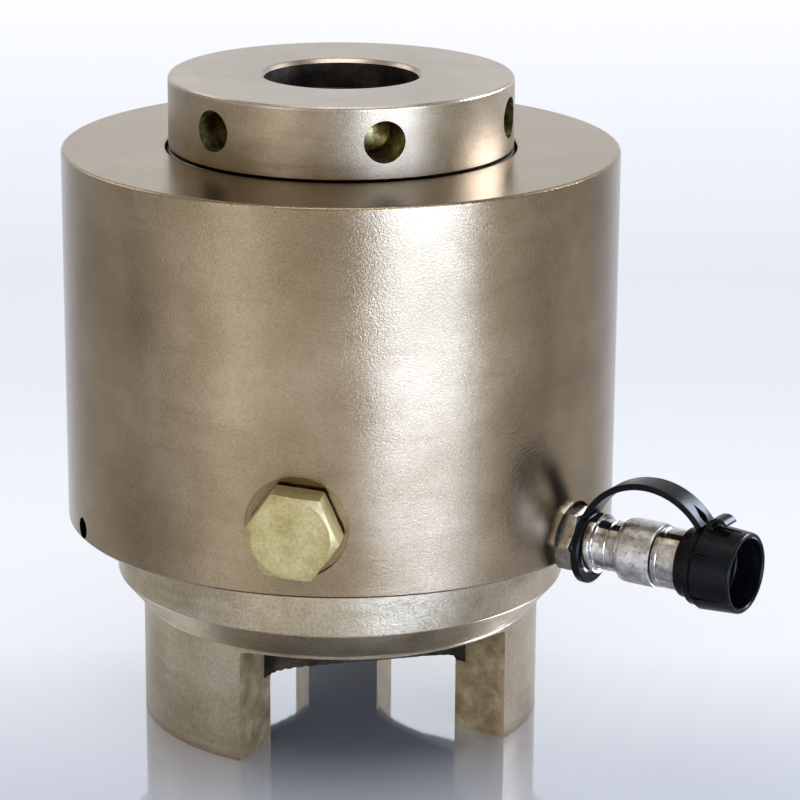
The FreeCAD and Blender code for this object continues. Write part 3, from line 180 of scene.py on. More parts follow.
# Cylinder body.
# A thick barrel turned from forged steel, with spot faces for two oil ports and holes for two set screws.
# It is plated with electroless nickel over a blasted skin: warm champagne grey, fine grained, and satin.
def turn_profile(name, points, steps=256):
    """Extrudes a section point by point and spins it about the vertical axis into a closed shell."""
    bpy.ops.object.select_all(action="DESELECT")
    bpy.ops.mesh.primitive_plane_add(size=0.01, location=(0, 0, 0))
    piece = bpy.context.object
    piece.name = name
    bpy.ops.object.mode_set(mode="EDIT")
    bpy.ops.mesh.select_all(action="SELECT")
    bpy.ops.mesh.merge(type="CENTER")
    first = Vector((points[0][0] * MM, 0, points[0][1] * MM))
    bpy.ops.transform.translate(value=first)
    for (x0, z0), (x1, z1) in zip(points, points[1:] + points[:1]):
        step = ((x1 - x0) * MM, 0, (z1 - z0) * MM)
        bpy.ops.mesh.extrude_region_move(TRANSFORM_OT_translate={"value": step})
    bpy.ops.mesh.select_all(action="SELECT")
    bpy.ops.mesh.remove_doubles(threshold=1e-6)
    bpy.ops.mesh.spin(steps=steps, angle=math.tau, center=(0, 0, 0), axis=(0, 0, 1), use_auto_merge=True)
    bpy.ops.mesh.select_all(action="SELECT")
    bpy.ops.mesh.remove_doubles(threshold=2e-6)
    bpy.ops.mesh.dissolve_degenerate(threshold=1e-7)
    bpy.ops.mesh.normals_make_consistent(inside=False)
    bpy.ops.object.mode_set(mode="OBJECT")
    return piece


def pick(piece):
    """Makes a piece the only selected and active one."""
    bpy.ops.object.select_all(action="DESELECT")
    piece.select_set(True)
    bpy.context.view_layer.objects.active = piece


def apply_modifier(piece, kind, **settings):
    """Adds one modifier to a piece and applies it."""
    pick(piece)
    modifier = piece.modifiers.new(kind.lower(), kind)
    for key, value in settings.items():
        setattr(modifier, key, value)
    bpy.ops.object.modifier_apply(modifier=modifier.name)


def cut_away(piece, *cutters, operation="DIFFERENCE"):
    """Cuts the cutters out of a piece, or joins or crosses them with it, and clears them away."""
    for cutter in cutters:
        apply_modifier(piece, "BOOLEAN", object=cutter, operation=operation, solver="EXACT")
        bpy.data.objects.remove(cutter)


def ease_edges(piece, width_mm, segments=2, angle=40):
    """Breaks the sharp edges of a piece by a small round."""
    apply_modifier(piece, "BEVEL", width=width_mm * MM, segments=segments, limit_method="ANGLE",
                   angle_limit=math.radians(angle), use_clamp_overlap=True, miter_outer="MITER_ARC")


def lay_along_port(piece, bearing, height_mm):
    """Turns a piece that was made about the vertical axis to point out of the tool along a bearing."""
    pick(piece)
    piece.rotation_euler = (math.radians(90), 0, math.radians(bearing))
    piece.location = (0, 0, height_mm * MM)
    bpy.ops.object.transform_apply(location=True, rotation=True, scale=True)


def finish_piece(piece, material, body, slot, *nodes, angle=32):
    """Smooths a piece, gives it its material, ties it to its body and hides the nodes that it stands for."""
    pick(piece)
    bpy.ops.object.shade_smooth_by_angle(angle=math.radians(angle))
    apply_modifier(piece, "WEIGHTED_NORMAL", keep_sharp=True)
    piece.data.materials.clear()
    piece.data.materials.append(material)
    if nodes:
        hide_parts(*nodes)
    if body:
        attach(piece, body)


def satin_plate(name, dark, mid, light, rough, grain_depth, grain_mm=0.6, stain_and_shade_share=0.65):
    """Nickel plate on blasted steel: mottled tone, sparkling grain, horizontal smears, and brown corners that
    are partly stain and partly painted shade.
    """
    # The clouds are about 40 mm wide. The smears are about 40 mm long and 7 mm high. The blasting grit
    # leaves dimples near 0.1 mm, drawn at grain_mm here, so that they show with the whole tool in view.
    material, tree = new_material(name)
    place = add_node(tree, "ShaderNodeTexCoord").outputs["Object"]
    cloud = add_node(tree, "ShaderNodeTexNoise", {"Scale": 26.0, "Detail": 5.0, "Roughness": 0.6},
                     Vector=place)
    tone = add_node(tree, "ShaderNodeValToRGB", {"stops": [(0.30, dark), (0.50, mid), (0.72, light)]},
                    Fac=cloud.outputs["Fac"])
    smear_place = add_node(tree, "ShaderNodeMapping", {"Scale": (24.0, 24.0, 150.0)}, Vector=place)
    smear = add_node(tree, "ShaderNodeTexNoise", {"Scale": 1.0, "Detail": 4.0, "Roughness": 0.55},
                     Vector=smear_place.outputs[0])
    smear_share = add_node(tree, "ShaderNodeMapRange", {"From Min": 0.54, "From Max": 0.76, "To Max": 0.6},
                           Value=smear.outputs["Fac"])
    smeared = add_node(tree, "ShaderNodeMixRGB", {"Color2": linear(dark)}, Fac=smear_share.outputs[0],
                       Color1=tone.outputs["Color"])
    speck = add_node(tree, "ShaderNodeTexNoise", {"Scale": 1.0 / (grain_mm * MM), "Detail": 2.0},
                     Vector=place)
    speck_tone = add_node(tree, "ShaderNodeMapRange", {
        "From Min": 0.3, "From Max": 0.7, "To Min": 0.84, "To Max": 1.14,
    }, Value=speck.outputs["Fac"])
    grained = add_node(tree, "ShaderNodeMixRGB", {"blend_type": "MULTIPLY", "Fac": 1.0},
                       Color1=smeared.outputs[0], Color2=speck_tone.outputs[0])
    # Where the occlusion is deep, in corners and beside other parts, the colour turns brown: partly stain,
    # partly painted shade.
    hollow = add_node(tree, "ShaderNodeAmbientOcclusion", {"samples": 8, "Distance": 7 * MM})
    corner_stain_and_shade = add_node(tree, "ShaderNodeMapRange", {
        "From Min": 0.3, "From Max": 0.75, "To Min": stain_and_shade_share, "To Max": 0.0,
    }, Value=hollow.outputs["AO"])
    coloured = add_node(tree, "ShaderNodeMixRGB", {"Color2": linear("6B4A2C")}, Fac=corner_stain_and_shade.outputs[0],
                        Color1=grained.outputs[0])
    roughness = add_node(tree, "ShaderNodeMapRange", {
        "From Min": 0.3, "From Max": 0.7, "To Min": rough - 0.03, "To Max": rough + 0.06,
    }, Value=cloud.outputs["Fac"])
    relief = add_node(tree, "ShaderNodeBump", {"Strength": 1.0, "Distance": 0.1 * grain_depth * MM},
                      Height=speck.outputs["Fac"])
    metal = add_node(tree, "ShaderNodeBsdfPrincipled", {"Metallic": 1.0}, Base_Color=coloured.outputs[0],
                     Roughness=roughness.outputs[0], Normal=relief.outputs[0])
    add_node(tree, "ShaderNodeOutputMaterial", None, Surface=metal.outputs[0])
    return material


body_nickel = satin_plate("electroless_nickel_on_blasted_steel", "84755E", "918169", "A1917A", rough=0.17,
                          grain_depth=0.95)

plug_bearing = -7.6
plug_height = 102.5
port_bearing = 57.0
port_height = 84.0

barrel = turn_profile("barrel", [
    (80.0, 76.6), (101.6, 76.6), (102.5, 77.5), (102.5, 215.4), (102.3, 216.1), (101.8, 216.5),
    (101.1, 216.7), (65.3, 216.7), (64.7, 216.4), (64.5, 215.8), (64.5, 210.7), (68.5, 210.7),
    (68.5, 204.7), (64.5, 204.7), (64.5, 168.0), (80.0, 168.0),
], steps=360)
plug_spot = turn_profile("plug_spot_cutter", [(0, 100.5), (18.5, 100.5), (18.5, 120), (0, 120)], 96)
lay_along_port(plug_spot, plug_bearing, plug_height)
plug_hole = turn_profile("plug_hole_cutter", [(0, 89), (10.55, 89), (10.55, 110), (0, 110)], 64)
lay_along_port(plug_hole, plug_bearing, plug_height)
port_spot = turn_profile("port_spot_cutter", [(0, 97), (13.5, 97), (13.5, 120), (0, 120)], 96)
lay_along_port(port_spot, port_bearing, port_height)
port_hole = turn_profile("port_hole_cutter", [(0, 88), (4.95, 88), (4.95, 110), (0, 110)], 64)
lay_along_port(port_hole, port_bearing, port_height)
screw_height = 81.4
screw_holes = []
for bearing in (-66.0, 114.0):
    hole = turn_profile("screw_hole_cutter", [(0, 78), (4.0, 78), (4.0, 120), (0, 120)], 48)
    lay_along_port(hole, bearing, screw_height)
    screw_holes.append(hole)
cut_away(barrel, plug_spot, plug_hole, port_spot, port_hole, *screw_holes)
ease_edges(barrel, 0.25)
finish_piece(barrel, body_nickel, "tool_body", "nickel", "cylinder_body")


# Bridge.
# A forged and turned skirt that stands over the nut: flange, cone, three legs left between the windows, and
# a thin lintel inside that arches over each window.
# The plate is the same nickel, browner, and drawn lighter than the body's as painted light; the corners of
# the windows are tinted brown, partly stain and partly painted shade.
# The bridge's stops are lighter than the body's as painted light from the bright floor near the flange and
# legs.
bridge_nickel = satin_plate("electroless_nickel_on_forged_steel", "8F8067", "ADA088", "C6BAA3", rough=0.30,
                            grain_mm=1.0, grain_depth=0.7, stain_and_shade_share=0.8)

skirt = turn_profile("bridge_skirt", [
    (53.0, 0.0), (74.9, 0.0), (74.9, 44.0), (75.2, 44.8), (84.0, 55.2), (84.3, 56.0), (84.3, 76.3),
    (84.0, 76.6), (79.85, 76.6), (79.85, 86.8), (62.0, 86.8), (62.0, 64.0), (50.0, 64.0), (50.0, 50.0),
    (53.0, 50.0),
], steps=240)


def window_cutter(start, end, spring, rise, fullness):
    """A wedge as wide as one window. Its roof is half an ellipse, or flatter where fullness is over 2."""
    half = math.radians(end - start) / 2
    below = -2.0
    beyond = 115.0
    roof_steps = 24
    outline = [(1.0, below)]
    for step in range(roof_steps + 1):
        turn = math.pi * step / roof_steps
        side = math.copysign(abs(math.cos(turn)) ** (2 / fullness), math.cos(turn))
        outline.append((side, spring + rise * math.sin(turn) ** (2 / fullness)))
    outline.append((-1.0, below))
    bpy.ops.object.select_all(action="DESELECT")
    bpy.ops.mesh.primitive_circle_add(vertices=len(outline), radius=0.1, fill_type="NGON", location=(0, 0, 0))
    window = bpy.context.object
    for vertex, (side, height) in zip(window.data.vertices, outline):
        vertex.co = (beyond * math.tan(side * half) * MM, -beyond * MM, height * MM)
    bpy.ops.object.mode_set(mode="EDIT")
    bpy.ops.mesh.select_all(action="SELECT")
    bpy.ops.mesh.extrude_region_move()
    bpy.ops.transform.resize(value=(0.2, 0.2, 1), center_override=(0, 0, 0))
    bpy.ops.mesh.select_all(action="SELECT")
    bpy.ops.mesh.normals_make_consistent(inside=False)
    bpy.ops.object.mode_set(mode="OBJECT")
    window.rotation_euler.z = math.radians(start + end) / 2
    bpy.ops.object.transform_apply(location=False, rotation=True, scale=False)
    return window


# The lintel's ends stand back a little behind the sides of each window.
lintel = turn_profile("window_lintel", [(53.05, 20.0), (57.4, 20.0), (57.4, 46.0), (53.05, 46.0)], steps=240)
set_back = 0.4
for start, end in ((-28.2, 55.5), (107.0, 165.0), (195.0, 279.0)):
    cut_away(skirt, window_cutter(start, end, spring=38.4, rise=5.0, fullness=9))
    cut_away(lintel, window_cutter(start - set_back, end + set_back, spring=25.0, rise=10.8, fullness=2))
ease_edges(skirt, 1.3, segments=4, angle=50)
finish_piece(skirt, bridge_nickel, "tool_body", "nickel_dark", "bridge")


def blotchy_steel(name, per_metre, stops, metallic, rough, relief=0.0, relief_mm=0.1, blotch=0.65):
    """Steel without plate in blotchy tones, with so many patches to a metre: for rust, and for painted shade.
    """
    material, tree = new_material(name)
    place = add_node(tree, "ShaderNodeTexCoord").outputs["Object"]
    film = add_node(tree, "ShaderNodeTexNoise", {"Scale": per_metre, "Detail": 5.0, "Roughness": blotch},
                    Vector=place)
    tone = add_node(tree, "ShaderNodeValToRGB", {"stops": stops}, Fac=film.outputs["Fac"])
    bumps = add_node(tree, "ShaderNodeBump", {"Strength": relief, "Distance": relief_mm * MM},
                     Height=film.outputs["Fac"])
    steel = add_node(tree, "ShaderNodeBsdfPrincipled", {"Metallic": metallic, "Roughness": rough},
                     Base_Color=tone.outputs["Color"], Normal=bumps.outputs[0])
    add_node(tree, "ShaderNodeOutputMaterial", None, Surface=steel.outputs[0])
    return material


# The inside and the windows' roofs are painted nearly black as painted shade, in patches of 11 mm. The milled
# sides have a thin golden rust, in patches of 8 mm.
shade_dark_steel = blotchy_steel("bare_steel_darkened_as_painted_shade", 90.0,
                             [(0.34, "1E1B18"), (0.52, "36312B"), (0.70, "544C42")],
                             metallic=0.8, rough=0.42, relief=0.5)
milled_steel = blotchy_steel("milled_window_side", 120.0,
                            [(0.34, "84704C"), (0.52, "A8946E"), (0.70, "C4B48E")],
                            metallic=0.6, rough=0.45)
# The inside faces and the windows' roofs are painted nearly black as painted shade; the milled window sides
# keep their golden rust.
skirt.data.materials.append(shade_dark_steel)
skirt.data.materials.append(milled_steel)
for face in skirt.data.polygons:
    reach = face.center.xy.length / MM
    outwards = face.normal.dot(Vector((face.center.x, face.center.y, 0)).normalized())
    faces_in = outwards < -0.9
    is_roof = face.normal.z < -0.9 and face.center.z / MM > 40.0
    is_side = abs(outwards) < 0.3 and abs(face.normal.z) < 0.3 and 54 < reach < 74
    if faces_in or is_roof:
        face.material_index = 1
    elif is_side:
        face.material_index = 2
# The lintel is painted nearly black as painted shade.
finish_piece(lintel, shade_dark_steel, "tool_body", "nickel_dark", "bridge")


# Puller.
# The ring that screws onto the stud, turned from the same steel, with six drilled holes for a tommy bar.
# Its rim's side is a darker, browner copy of the nickel: partly the body's warmer tone, partly painted shade.
# Each hole ends in the drill's cone; its inside is painted dark brown as painted shade, with brighter olive
# patches.
puller_nickel = satin_plate("electroless_nickel_on_turned_steel", "94877A", "A99E91", "BDB4A8",
                            rough=0.26, grain_depth=0.4)
rim_nickel_with_painted_shade = satin_plate("electroless_nickel_on_rim_with_painted_shade", "7E6F58", "94856E", "A99B86", rough=0.34,
                         grain_depth=0.5)
# The inside's dark brown painted shade and its olive patches lie in patches of 6 mm.
drilled_steel_shade_and_olive = blotchy_steel("drilled_steel_in_painted_shade_with_olive_patches", 160.0,
                           [(0.36, "352A1A"), (0.50, "7A6A3C"), (0.64, "CBBF88")],
                           metallic=0.85, rough=0.32, relief=0.6, relief_mm=0.2, blotch=0.7)

ring = turn_profile("puller_ring", [
    (28.2, 69.0), (44.5, 69.0), (44.5, 73.0), (42.5, 73.0), (42.5, 75.5), (44.5, 75.5), (44.5, 216.0),
    (61.9, 216.0), (63.3, 217.4), (63.3, 241.7), (63.0, 242.5), (62.3, 243.0),
    (29.9, 243.0), (29.4, 242.8), (28.3, 241.5), (28.3, 232.0), (28.2, 231.9),
], steps=300)
first_hole = 15
hole_height = 230.4
for number in range(6):
    drill = turn_profile("tommy_drill", [(0, 36.8), (7.5, 41.3), (7.5, 80), (0, 80)], 64)
    lay_along_port(drill, first_hole + 60 * number, hole_height)
    cut_away(ring, drill)
ease_edges(ring, 0.35)
finish_piece(ring, puller_nickel, "puller_assembly", "nickel", "puller")
# The inside of each tommy hole is painted dark brown as painted shade, with brighter olive patches.
ring.data.materials.append(drilled_steel_shade_and_olive)
# The bore is painted nearly black as painted shade.
ring.data.materials.append(shade_dark_steel)
# The rim's side is a darker, browner copy of the puller's nickel, partly painted shade.
ring.data.materials.append(rim_nickel_with_painted_shade)
for face in ring.data.polygons:
    reach = face.center.xy.length / MM
    in_hole = 36.5 < reach < 62.9 and 222.8 < face.center.z / MM < 238.0
    in_bore = reach < 28.5
    on_rim = reach > 62.9 and abs(face.normal.z) < 0.2
    if in_hole:
        face.material_index = 1
    elif in_bore:
        face.material_index = 2
    elif on_rim:
        face.material_index = 3

pitch = 5.5
bpy.ops.object.select_all(action="DESELECT")
bpy.ops.mesh.primitive_plane_add(size=1.0 * MM, location=(0, 0, 0))
thread = bpy.context.object
thread.name = "puller_thread_ridge"
bpy.ops.object.mode_set(mode="EDIT")
bpy.ops.mesh.select_all(action="SELECT")
bpy.ops.mesh.merge(type="CENTER")
bpy.ops.transform.translate(value=(28.3 * MM, 0, 160.0 * MM))
for step_in, step_up in ((-3.27, 2.05), (0.0, 0.70), (3.27, 2.05)):
    bpy.ops.mesh.extrude_region_move(TRANSFORM_OT_translate={"value": (step_in * MM, 0, step_up * MM)})
bpy.ops.object.mode_set(mode="OBJECT")
apply_modifier(thread, "SCREW", screw_offset=pitch * MM, iterations=13, steps=72, render_steps=72, axis="Z",
               use_normal_flip=True)
# The thread ridge in the bore is painted nearly black as painted shade.
finish_piece(thread, shade_dark_steel, "puller_assembly", "nickel")


# Blanking plug.
# A hexagon-headed screw in yellow-passivated zinc, tightened on a bonded washer over the unused port.
# The head is forged: its corners are turned to a flat cone and its face is left a little dull.
# The bath leaves blooms of about 9 mm and flecks of about 1 mm.
passivated_zinc, tree = new_material("yellow_passivated_zinc")
place = add_node(tree, "ShaderNodeTexCoord").outputs["Object"]
bloom_spots = add_node(tree, "ShaderNodeTexNoise", {"Scale": 110.0, "Detail": 5.0, "Roughness": 0.65},
                       Vector=place)
zinc_tone = add_node(tree, "ShaderNodeValToRGB", {"stops": [
    (0.28, "948A58"), (0.44, "ADA06C"), (0.60, "B9AC7E"), (0.78, "C8BD98"),
]}, Fac=bloom_spots.outputs["Fac"])
flecks = add_node(tree, "ShaderNodeTexNoise", {"Scale": 900.0, "Detail": 2.0}, Vector=place)
fleck_tone = add_node(tree, "ShaderNodeMapRange", {
    "From Min": 0.3, "From Max": 0.7, "To Min": 0.86, "To Max": 1.12,
}, Value=flecks.outputs["Fac"])
zinc_colour = add_node(tree, "ShaderNodeMixRGB", {"blend_type": "MULTIPLY", "Fac": 1.0},
                       Color1=zinc_tone.outputs["Color"], Color2=fleck_tone.outputs[0])
zinc_rough = add_node(tree, "ShaderNodeMapRange", {"To Min": 0.34, "To Max": 0.52},
                      Value=bloom_spots.outputs["Fac"])
zinc_relief = add_node(tree, "ShaderNodeBump", {"Strength": 0.35, "Distance": 0.08 * MM},
                       Height=flecks.outputs["Fac"])
zinc = add_node(tree, "ShaderNodeBsdfPrincipled", {"Metallic": 0.8}, Base_Color=zinc_colour.outputs[0],
                Roughness=zinc_rough.outputs[0], Normal=zinc_relief.outputs[0])
add_node(tree, "ShaderNodeOutputMaterial", None, Surface=zinc.outputs[0])


def hexagon_bar(name, flats, start, end, turn=0.0):
    """A hexagon bar along the vertical axis, with a corner towards +X before it is turned."""
    bpy.ops.object.select_all(action="DESELECT")
    bpy.ops.mesh.primitive_cylinder_add(vertices=6, radius=flats / math.sqrt(3) * MM,
                                        depth=(end - start) * MM, location=(0, 0, (start + end) / 2 * MM),
                                        rotation=(0, 0, math.radians(30 + turn)))
    bar = bpy.context.object
    bar.name = name
    bpy.ops.object.transform_apply(location=True, rotation=True, scale=True)
    return bar


plug = hexagon_bar("blanking_plug", 29.5, 102.5, 115.0, turn=-6.0)
chamfer = turn_profile("plug_chamfer", [
    (0, 102.5), (16.4, 102.5), (18.0, 103.3), (18.0, 112.94), (13.87, 115.0), (0, 115.0),
], 96)
cut_away(plug, chamfer, operation="INTERSECT")
ease_edges(plug, 0.45, segments=3, angle=14)
plug_thread = turn_profile("plug_thread", [
    (0, 90.5), (9.5, 90.5), (10.45, 91.5), (10.45, 103.5), (0, 103.5),
], 64)
cut_away(plug, plug_thread, operation="UNION")
lay_along_port(plug, plug_bearing, plug_height)
finish_piece(plug, passivated_zinc, "tool_body", "plug_zinc", "blanking_plug", angle=22)


# Hexagon adaptor.
# A turned and milled steel fitting, nickel-plated, screwed into the pressure port under the quick coupler.
# The plate has rubbed bright on the flats, and its corners are darkened with painted shade.
def bright_plate(name, dark, mid, light, rough, spot_from, spot_share=0.55, corner_shade_share=0.85, relief_mm=0.05):
    """Polished plate with cloudy wear about 7 mm wide, brown pinholes about 2 mm apart and corners darkened
    as painted shade.
    """
    material, tree = new_material(name)
    place = add_node(tree, "ShaderNodeTexCoord").outputs["Object"]
    cloud = add_node(tree, "ShaderNodeTexNoise", {"Scale": 150.0, "Detail": 5.0, "Roughness": 0.65},
                     Vector=place)
    tone = add_node(tree, "ShaderNodeValToRGB", {"stops": [(0.32, dark), (0.50, mid), (0.70, light)]},
                    Fac=cloud.outputs["Fac"])
    pits = add_node(tree, "ShaderNodeTexNoise", {"Scale": 520.0, "Detail": 3.0, "Roughness": 0.7},
                    Vector=place)
    pit_share = add_node(tree, "ShaderNodeMapRange", {
        "From Min": spot_from, "From Max": spot_from + 0.12, "To Max": spot_share,
    }, Value=pits.outputs["Fac"])
    pitted = add_node(tree, "ShaderNodeMixRGB", {"Color2": linear("5A3A26")}, Fac=pit_share.outputs[0],
                      Color1=tone.outputs["Color"])
    # Deep occlusion in the corners darkens the colour to near black: painted shade.
    hollow = add_node(tree, "ShaderNodeAmbientOcclusion", {"samples": 8, "Distance": 2.5 * MM})
    corner_shade = add_node(tree, "ShaderNodeMapRange", {
        "From Min": 0.25, "From Max": 0.7, "To Min": corner_shade_share, "To Max": 0.0,
    }, Value=hollow.outputs["AO"])
    corner_shaded = add_node(tree, "ShaderNodeMixRGB", {"Color2": linear("2E231A")}, Fac=corner_shade.outputs[0],
                     Color1=pitted.outputs[0])
    roughness = add_node(tree, "ShaderNodeMapRange", {
        "From Min": 0.3, "From Max": 0.75, "To Min": rough - 0.03, "To Max": rough + 0.12,
    }, Value=cloud.outputs["Fac"])
    relief = add_node(tree, "ShaderNodeBump", {"Strength": 0.35, "Distance": relief_mm * MM},
                      Height=pits.outputs["Fac"])
    metal = add_node(tree, "ShaderNodeBsdfPrincipled", {"Metallic": 1.0}, Base_Color=corner_shaded.outputs[0],
                     Roughness=roughness.outputs[0], Normal=relief.outputs[0])
    add_node(tree, "ShaderNodeOutputMaterial", None, Surface=metal.outputs[0])
    return material


fitting_nickel = bright_plate("nickel_plated_fitting_steel", "C8BEAE", "E0DACE", "F2EEE6", rough=0.26,
                              spot_from=0.56, corner_shade_share=0.5, relief_mm=0.12)

adaptor = hexagon_bar("hexagon_adaptor", 21.0, 98.5, 107.5)
chamfer = turn_profile("adaptor_chamfer", [
    (0, 98.5), (10.9, 98.5), (12.5, 99.4), (12.5, 106.0), (9.6, 107.5), (0, 107.5),
], 96)
cut_away(adaptor, chamfer, operation="INTERSECT")
ease_edges(adaptor, 0.35, segments=3, angle=14)
spigot = turn_profile("adaptor_spigot", [
    (2.0, 89.0), (4.4, 89.0), (4.85, 89.6), (4.85, 99.0), (6.8, 99.0), (6.8, 111.1), (6.0, 111.1),
    (6.0, 117.6), (5.5, 118.1), (2.0, 118.1),
], 64)
bore = turn_profile("adaptor_bore", [(0, 90), (2.0, 90), (2.0, 120), (0, 120)], 48)
cut_away(adaptor, bore)
cut_away(adaptor, spigot, operation="UNION")
lay_along_port(adaptor, port_bearing, port_height)
finish_piece(adaptor, fitting_nickel, "tool_body", "zinc", "hex_adaptor", angle=22)


# Quick coupler: body and nose.
# Turned from steel and nickel-plated: a flange, a grooved neck, and the nose that takes the hose.
# Oil and handling have left brown pinholes; its corners are darkened with painted shade.
polished_nickel = bright_plate("polished_nickel_plate", "6F6C6A", "B9B7B5", "E8E7E6", rough=0.10,
                               spot_from=0.62)

coupler = turn_profile("coupler_body", [
    (6.1, 111.1), (10.2, 111.1), (10.8, 111.4), (11.0, 112.0), (11.0, 113.6), (10.8, 114.2), (10.2, 114.5),
    (9.6, 114.6), (9.25, 115.2), (9.25, 119.3), (9.05, 119.5), (9.05, 119.9), (9.25, 120.1), (9.25, 126.5),
    (8.0, 126.5), (8.0, 145.0), (5.9, 145.0), (5.9, 132.2), (3.4, 132.2), (3.4, 131.2), (5.2, 129.4),
    (5.2, 120.4), (2.0, 120.4), (2.0, 118.4), (6.1, 118.4),
], 128)
for number in range(6):
    seat = turn_profile("ball_seat", [(0, 0), (1.55, 0), (1.55, 12), (0, 12)], 24)
    pick(seat)
    seat.rotation_euler = (math.radians(90), 0, math.radians(60 * number))
    seat.location = (0, 0, 137 * MM)
    bpy.ops.object.transform_apply(location=True, rotation=True, scale=True)
    cut_away(coupler, seat)
lay_along_port(coupler, port_bearing, port_height)
finish_piece(coupler, polished_nickel, "tool_body", "chrome", "coupler_body")

nose = turn_profile("coupler_nose", [
    (8.1, 139.0), (10.5, 139.0), (10.85, 139.15), (11.0, 139.5), (11.0, 141.0), (10.8, 141.25), (10.8, 141.6),
    (11.0, 141.85), (11.0, 156.8), (10.6, 157.5), (9.8, 158.0), (7.1, 158.0), (6.2, 157.5), (5.9, 156.8),
    (5.9, 151.6), (7.5, 151.6), (7.5, 149.4), (5.9, 149.4), (5.9, 145.0), (8.1, 145.0),
], 128)
lay_along_port(nose, port_bearing, port_height)
finish_piece(nose, polished_nickel, "tool_body", "chrome", "coupler_nose")


# Locking sleeve.
# The ring that is pulled back by hand to free the hose. Its plate is mottled and matte from handling.
# It slides on the coupler's neck, so it is a piece of its own.
handled_nickel = bright_plate("handled_matte_nickel_plate", "A6A5A3", "CACAC9", "E8E8E8", rough=0.32,
                              spot_from=0.55, spot_share=0.6, relief_mm=0.3)

sleeve = turn_profile("locking_sleeve", [
    (9.33, 123.5), (9.6, 123.5), (10.3, 123.75), (10.95, 124.3), (11.4, 125.1), (11.65, 125.9),
    (11.75, 126.8), (11.75, 138.1), (11.6, 138.5), (11.2, 138.7), (8.08, 138.7), (8.08, 133.5),
    (9.33, 133.5),
], 128)
lay_along_port(sleeve, port_bearing, port_height)
finish_piece(sleeve, handled_nickel, "sleeve", "chrome", "locking_sleeve")


# Dust cap.
# Moulded black rubber pushed over the nose: a collar, a waist for the strap's loop, a fluted grip, a recess.
# The skin is slightly glossy on the edges, and the mould has left fine rings in the recess.
# Wear dulls it in patches of about 14 mm, and its fine skin is drawn at 2.4 mm so that it shows.
cap_rubber, tree = new_material("moulded_black_rubber")
place = add_node(tree, "ShaderNodeTexCoord").outputs["Object"]
skin = add_node(tree, "ShaderNodeTexNoise", {"Scale": 420.0, "Detail": 4.0, "Roughness": 0.6}, Vector=place)
wear = add_node(tree, "ShaderNodeTexNoise", {"Scale": 70.0, "Detail": 4.0, "Roughness": 0.6}, Vector=place)
rubber_tone = add_node(tree, "ShaderNodeValToRGB", {"stops": [
    (0.35, "040506"), (0.55, "08090C"), (0.75, "101319"),
]}, Fac=wear.outputs["Fac"])
rubber_rough = add_node(tree, "ShaderNodeMapRange", {
    "From Min": 0.3, "From Max": 0.7, "To Min": 0.20, "To Max": 0.36,
}, Value=wear.outputs["Fac"])
rubber_relief = add_node(tree, "ShaderNodeBump", {"Strength": 0.3, "Distance": 0.05 * MM},
                         Height=skin.outputs["Fac"])
rubber = add_node(tree, "ShaderNodeBsdfPrincipled", {"Specular IOR Level": 0.12},
                  Base_Color=rubber_tone.outputs["Color"], Roughness=rubber_rough.outputs[0],
                  Normal=rubber_relief.outputs[0])
add_node(tree, "ShaderNodeOutputMaterial", None, Surface=rubber.outputs[0])

recess_rings = []
for number in range(4):
    back = 168.6 - number * 1.7
    recess_rings += [(12.4, back), (12.28, back - 0.3), (12.28, back - 0.6), (12.4, back - 0.9)]
cap = turn_profile("dust_cap", [
    (11.15, 149.0), (12.1, 149.0), (12.5, 149.25), (12.7, 149.8), (12.7, 152.9), (12.45, 153.2),
    (12.3, 153.4), (12.3, 156.6), (12.5, 156.8), (14.6, 156.8), (15.2, 157.0), (15.5, 157.6),
    (14.62, 171.0), (14.5, 171.5), (14.1, 171.9), (13.6, 172.0), (13.1, 171.9), (12.7, 171.5),
    *recess_rings, (12.4, 161.9), (12.0, 161.5), (0, 161.5), (0, 158.6), (11.15, 158.6),
], 160)
flutes = []
for number in range(6):
    bpy.ops.object.select_all(action="DESELECT")
    bpy.ops.mesh.primitive_cube_add(size=1.0, location=(15.9 * MM, 0, 162.5 * MM),
                                    scale=(3.0 * MM, 1.7 * MM, 14 * MM))
    flute = bpy.context.object
    bpy.ops.object.transform_apply(location=True, rotation=True, scale=True)
    ease_edges(flute, 0.6, segments=4, angle=40)
    pick(flute)
    flute.rotation_euler = (0, 0, math.radians(60 * number - 90))
    bpy.ops.object.transform_apply(location=True, rotation=True, scale=True)
    flutes.append(flute)
cut_away(cap, *flutes)
bpy.ops.object.select_all(action="DESELECT")
bpy.ops.mesh.primitive_plane_add(size=1.0 * MM, location=(0, 0, 0))
tab = bpy.context.object
bpy.ops.object.mode_set(mode="EDIT")
bpy.ops.mesh.select_all(action="SELECT")
bpy.ops.mesh.merge(type="CENTER")
bpy.ops.transform.translate(value=(-4.0 * MM, 13.6 * MM, 157.6 * MM))
tab_side = [
    (13.6, 157.6), (15.8, 157.0), (18.0, 158.4), (19.2, 160.4), (19.4, 162.4), (18.8, 164.2),
    (17.4, 165.6), (16.7, 165.1), (17.8, 163.6), (18.1, 162.2), (17.6, 160.9), (16.0, 159.8),
    (13.6, 160.4),
]
for (up0, out0), (up1, out1) in zip(tab_side, tab_side[1:] + tab_side[:1]):
    step = (0, (up1 - up0) * MM, (out1 - out0) * MM)
    bpy.ops.mesh.extrude_region_move(TRANSFORM_OT_translate={"value": step})
bpy.ops.mesh.select_all(action="SELECT")
bpy.ops.mesh.remove_doubles(threshold=1e-6)
bpy.ops.mesh.edge_face_add()
bpy.ops.mesh.extrude_region_move(TRANSFORM_OT_translate={"value": (8.0 * MM, 0, 0)})
bpy.ops.mesh.select_all(action="SELECT")
bpy.ops.mesh.normals_make_consistent(inside=False)
bpy.ops.object.mode_set(mode="OBJECT")
ease_edges(tab, 0.45, segments=3, angle=30)
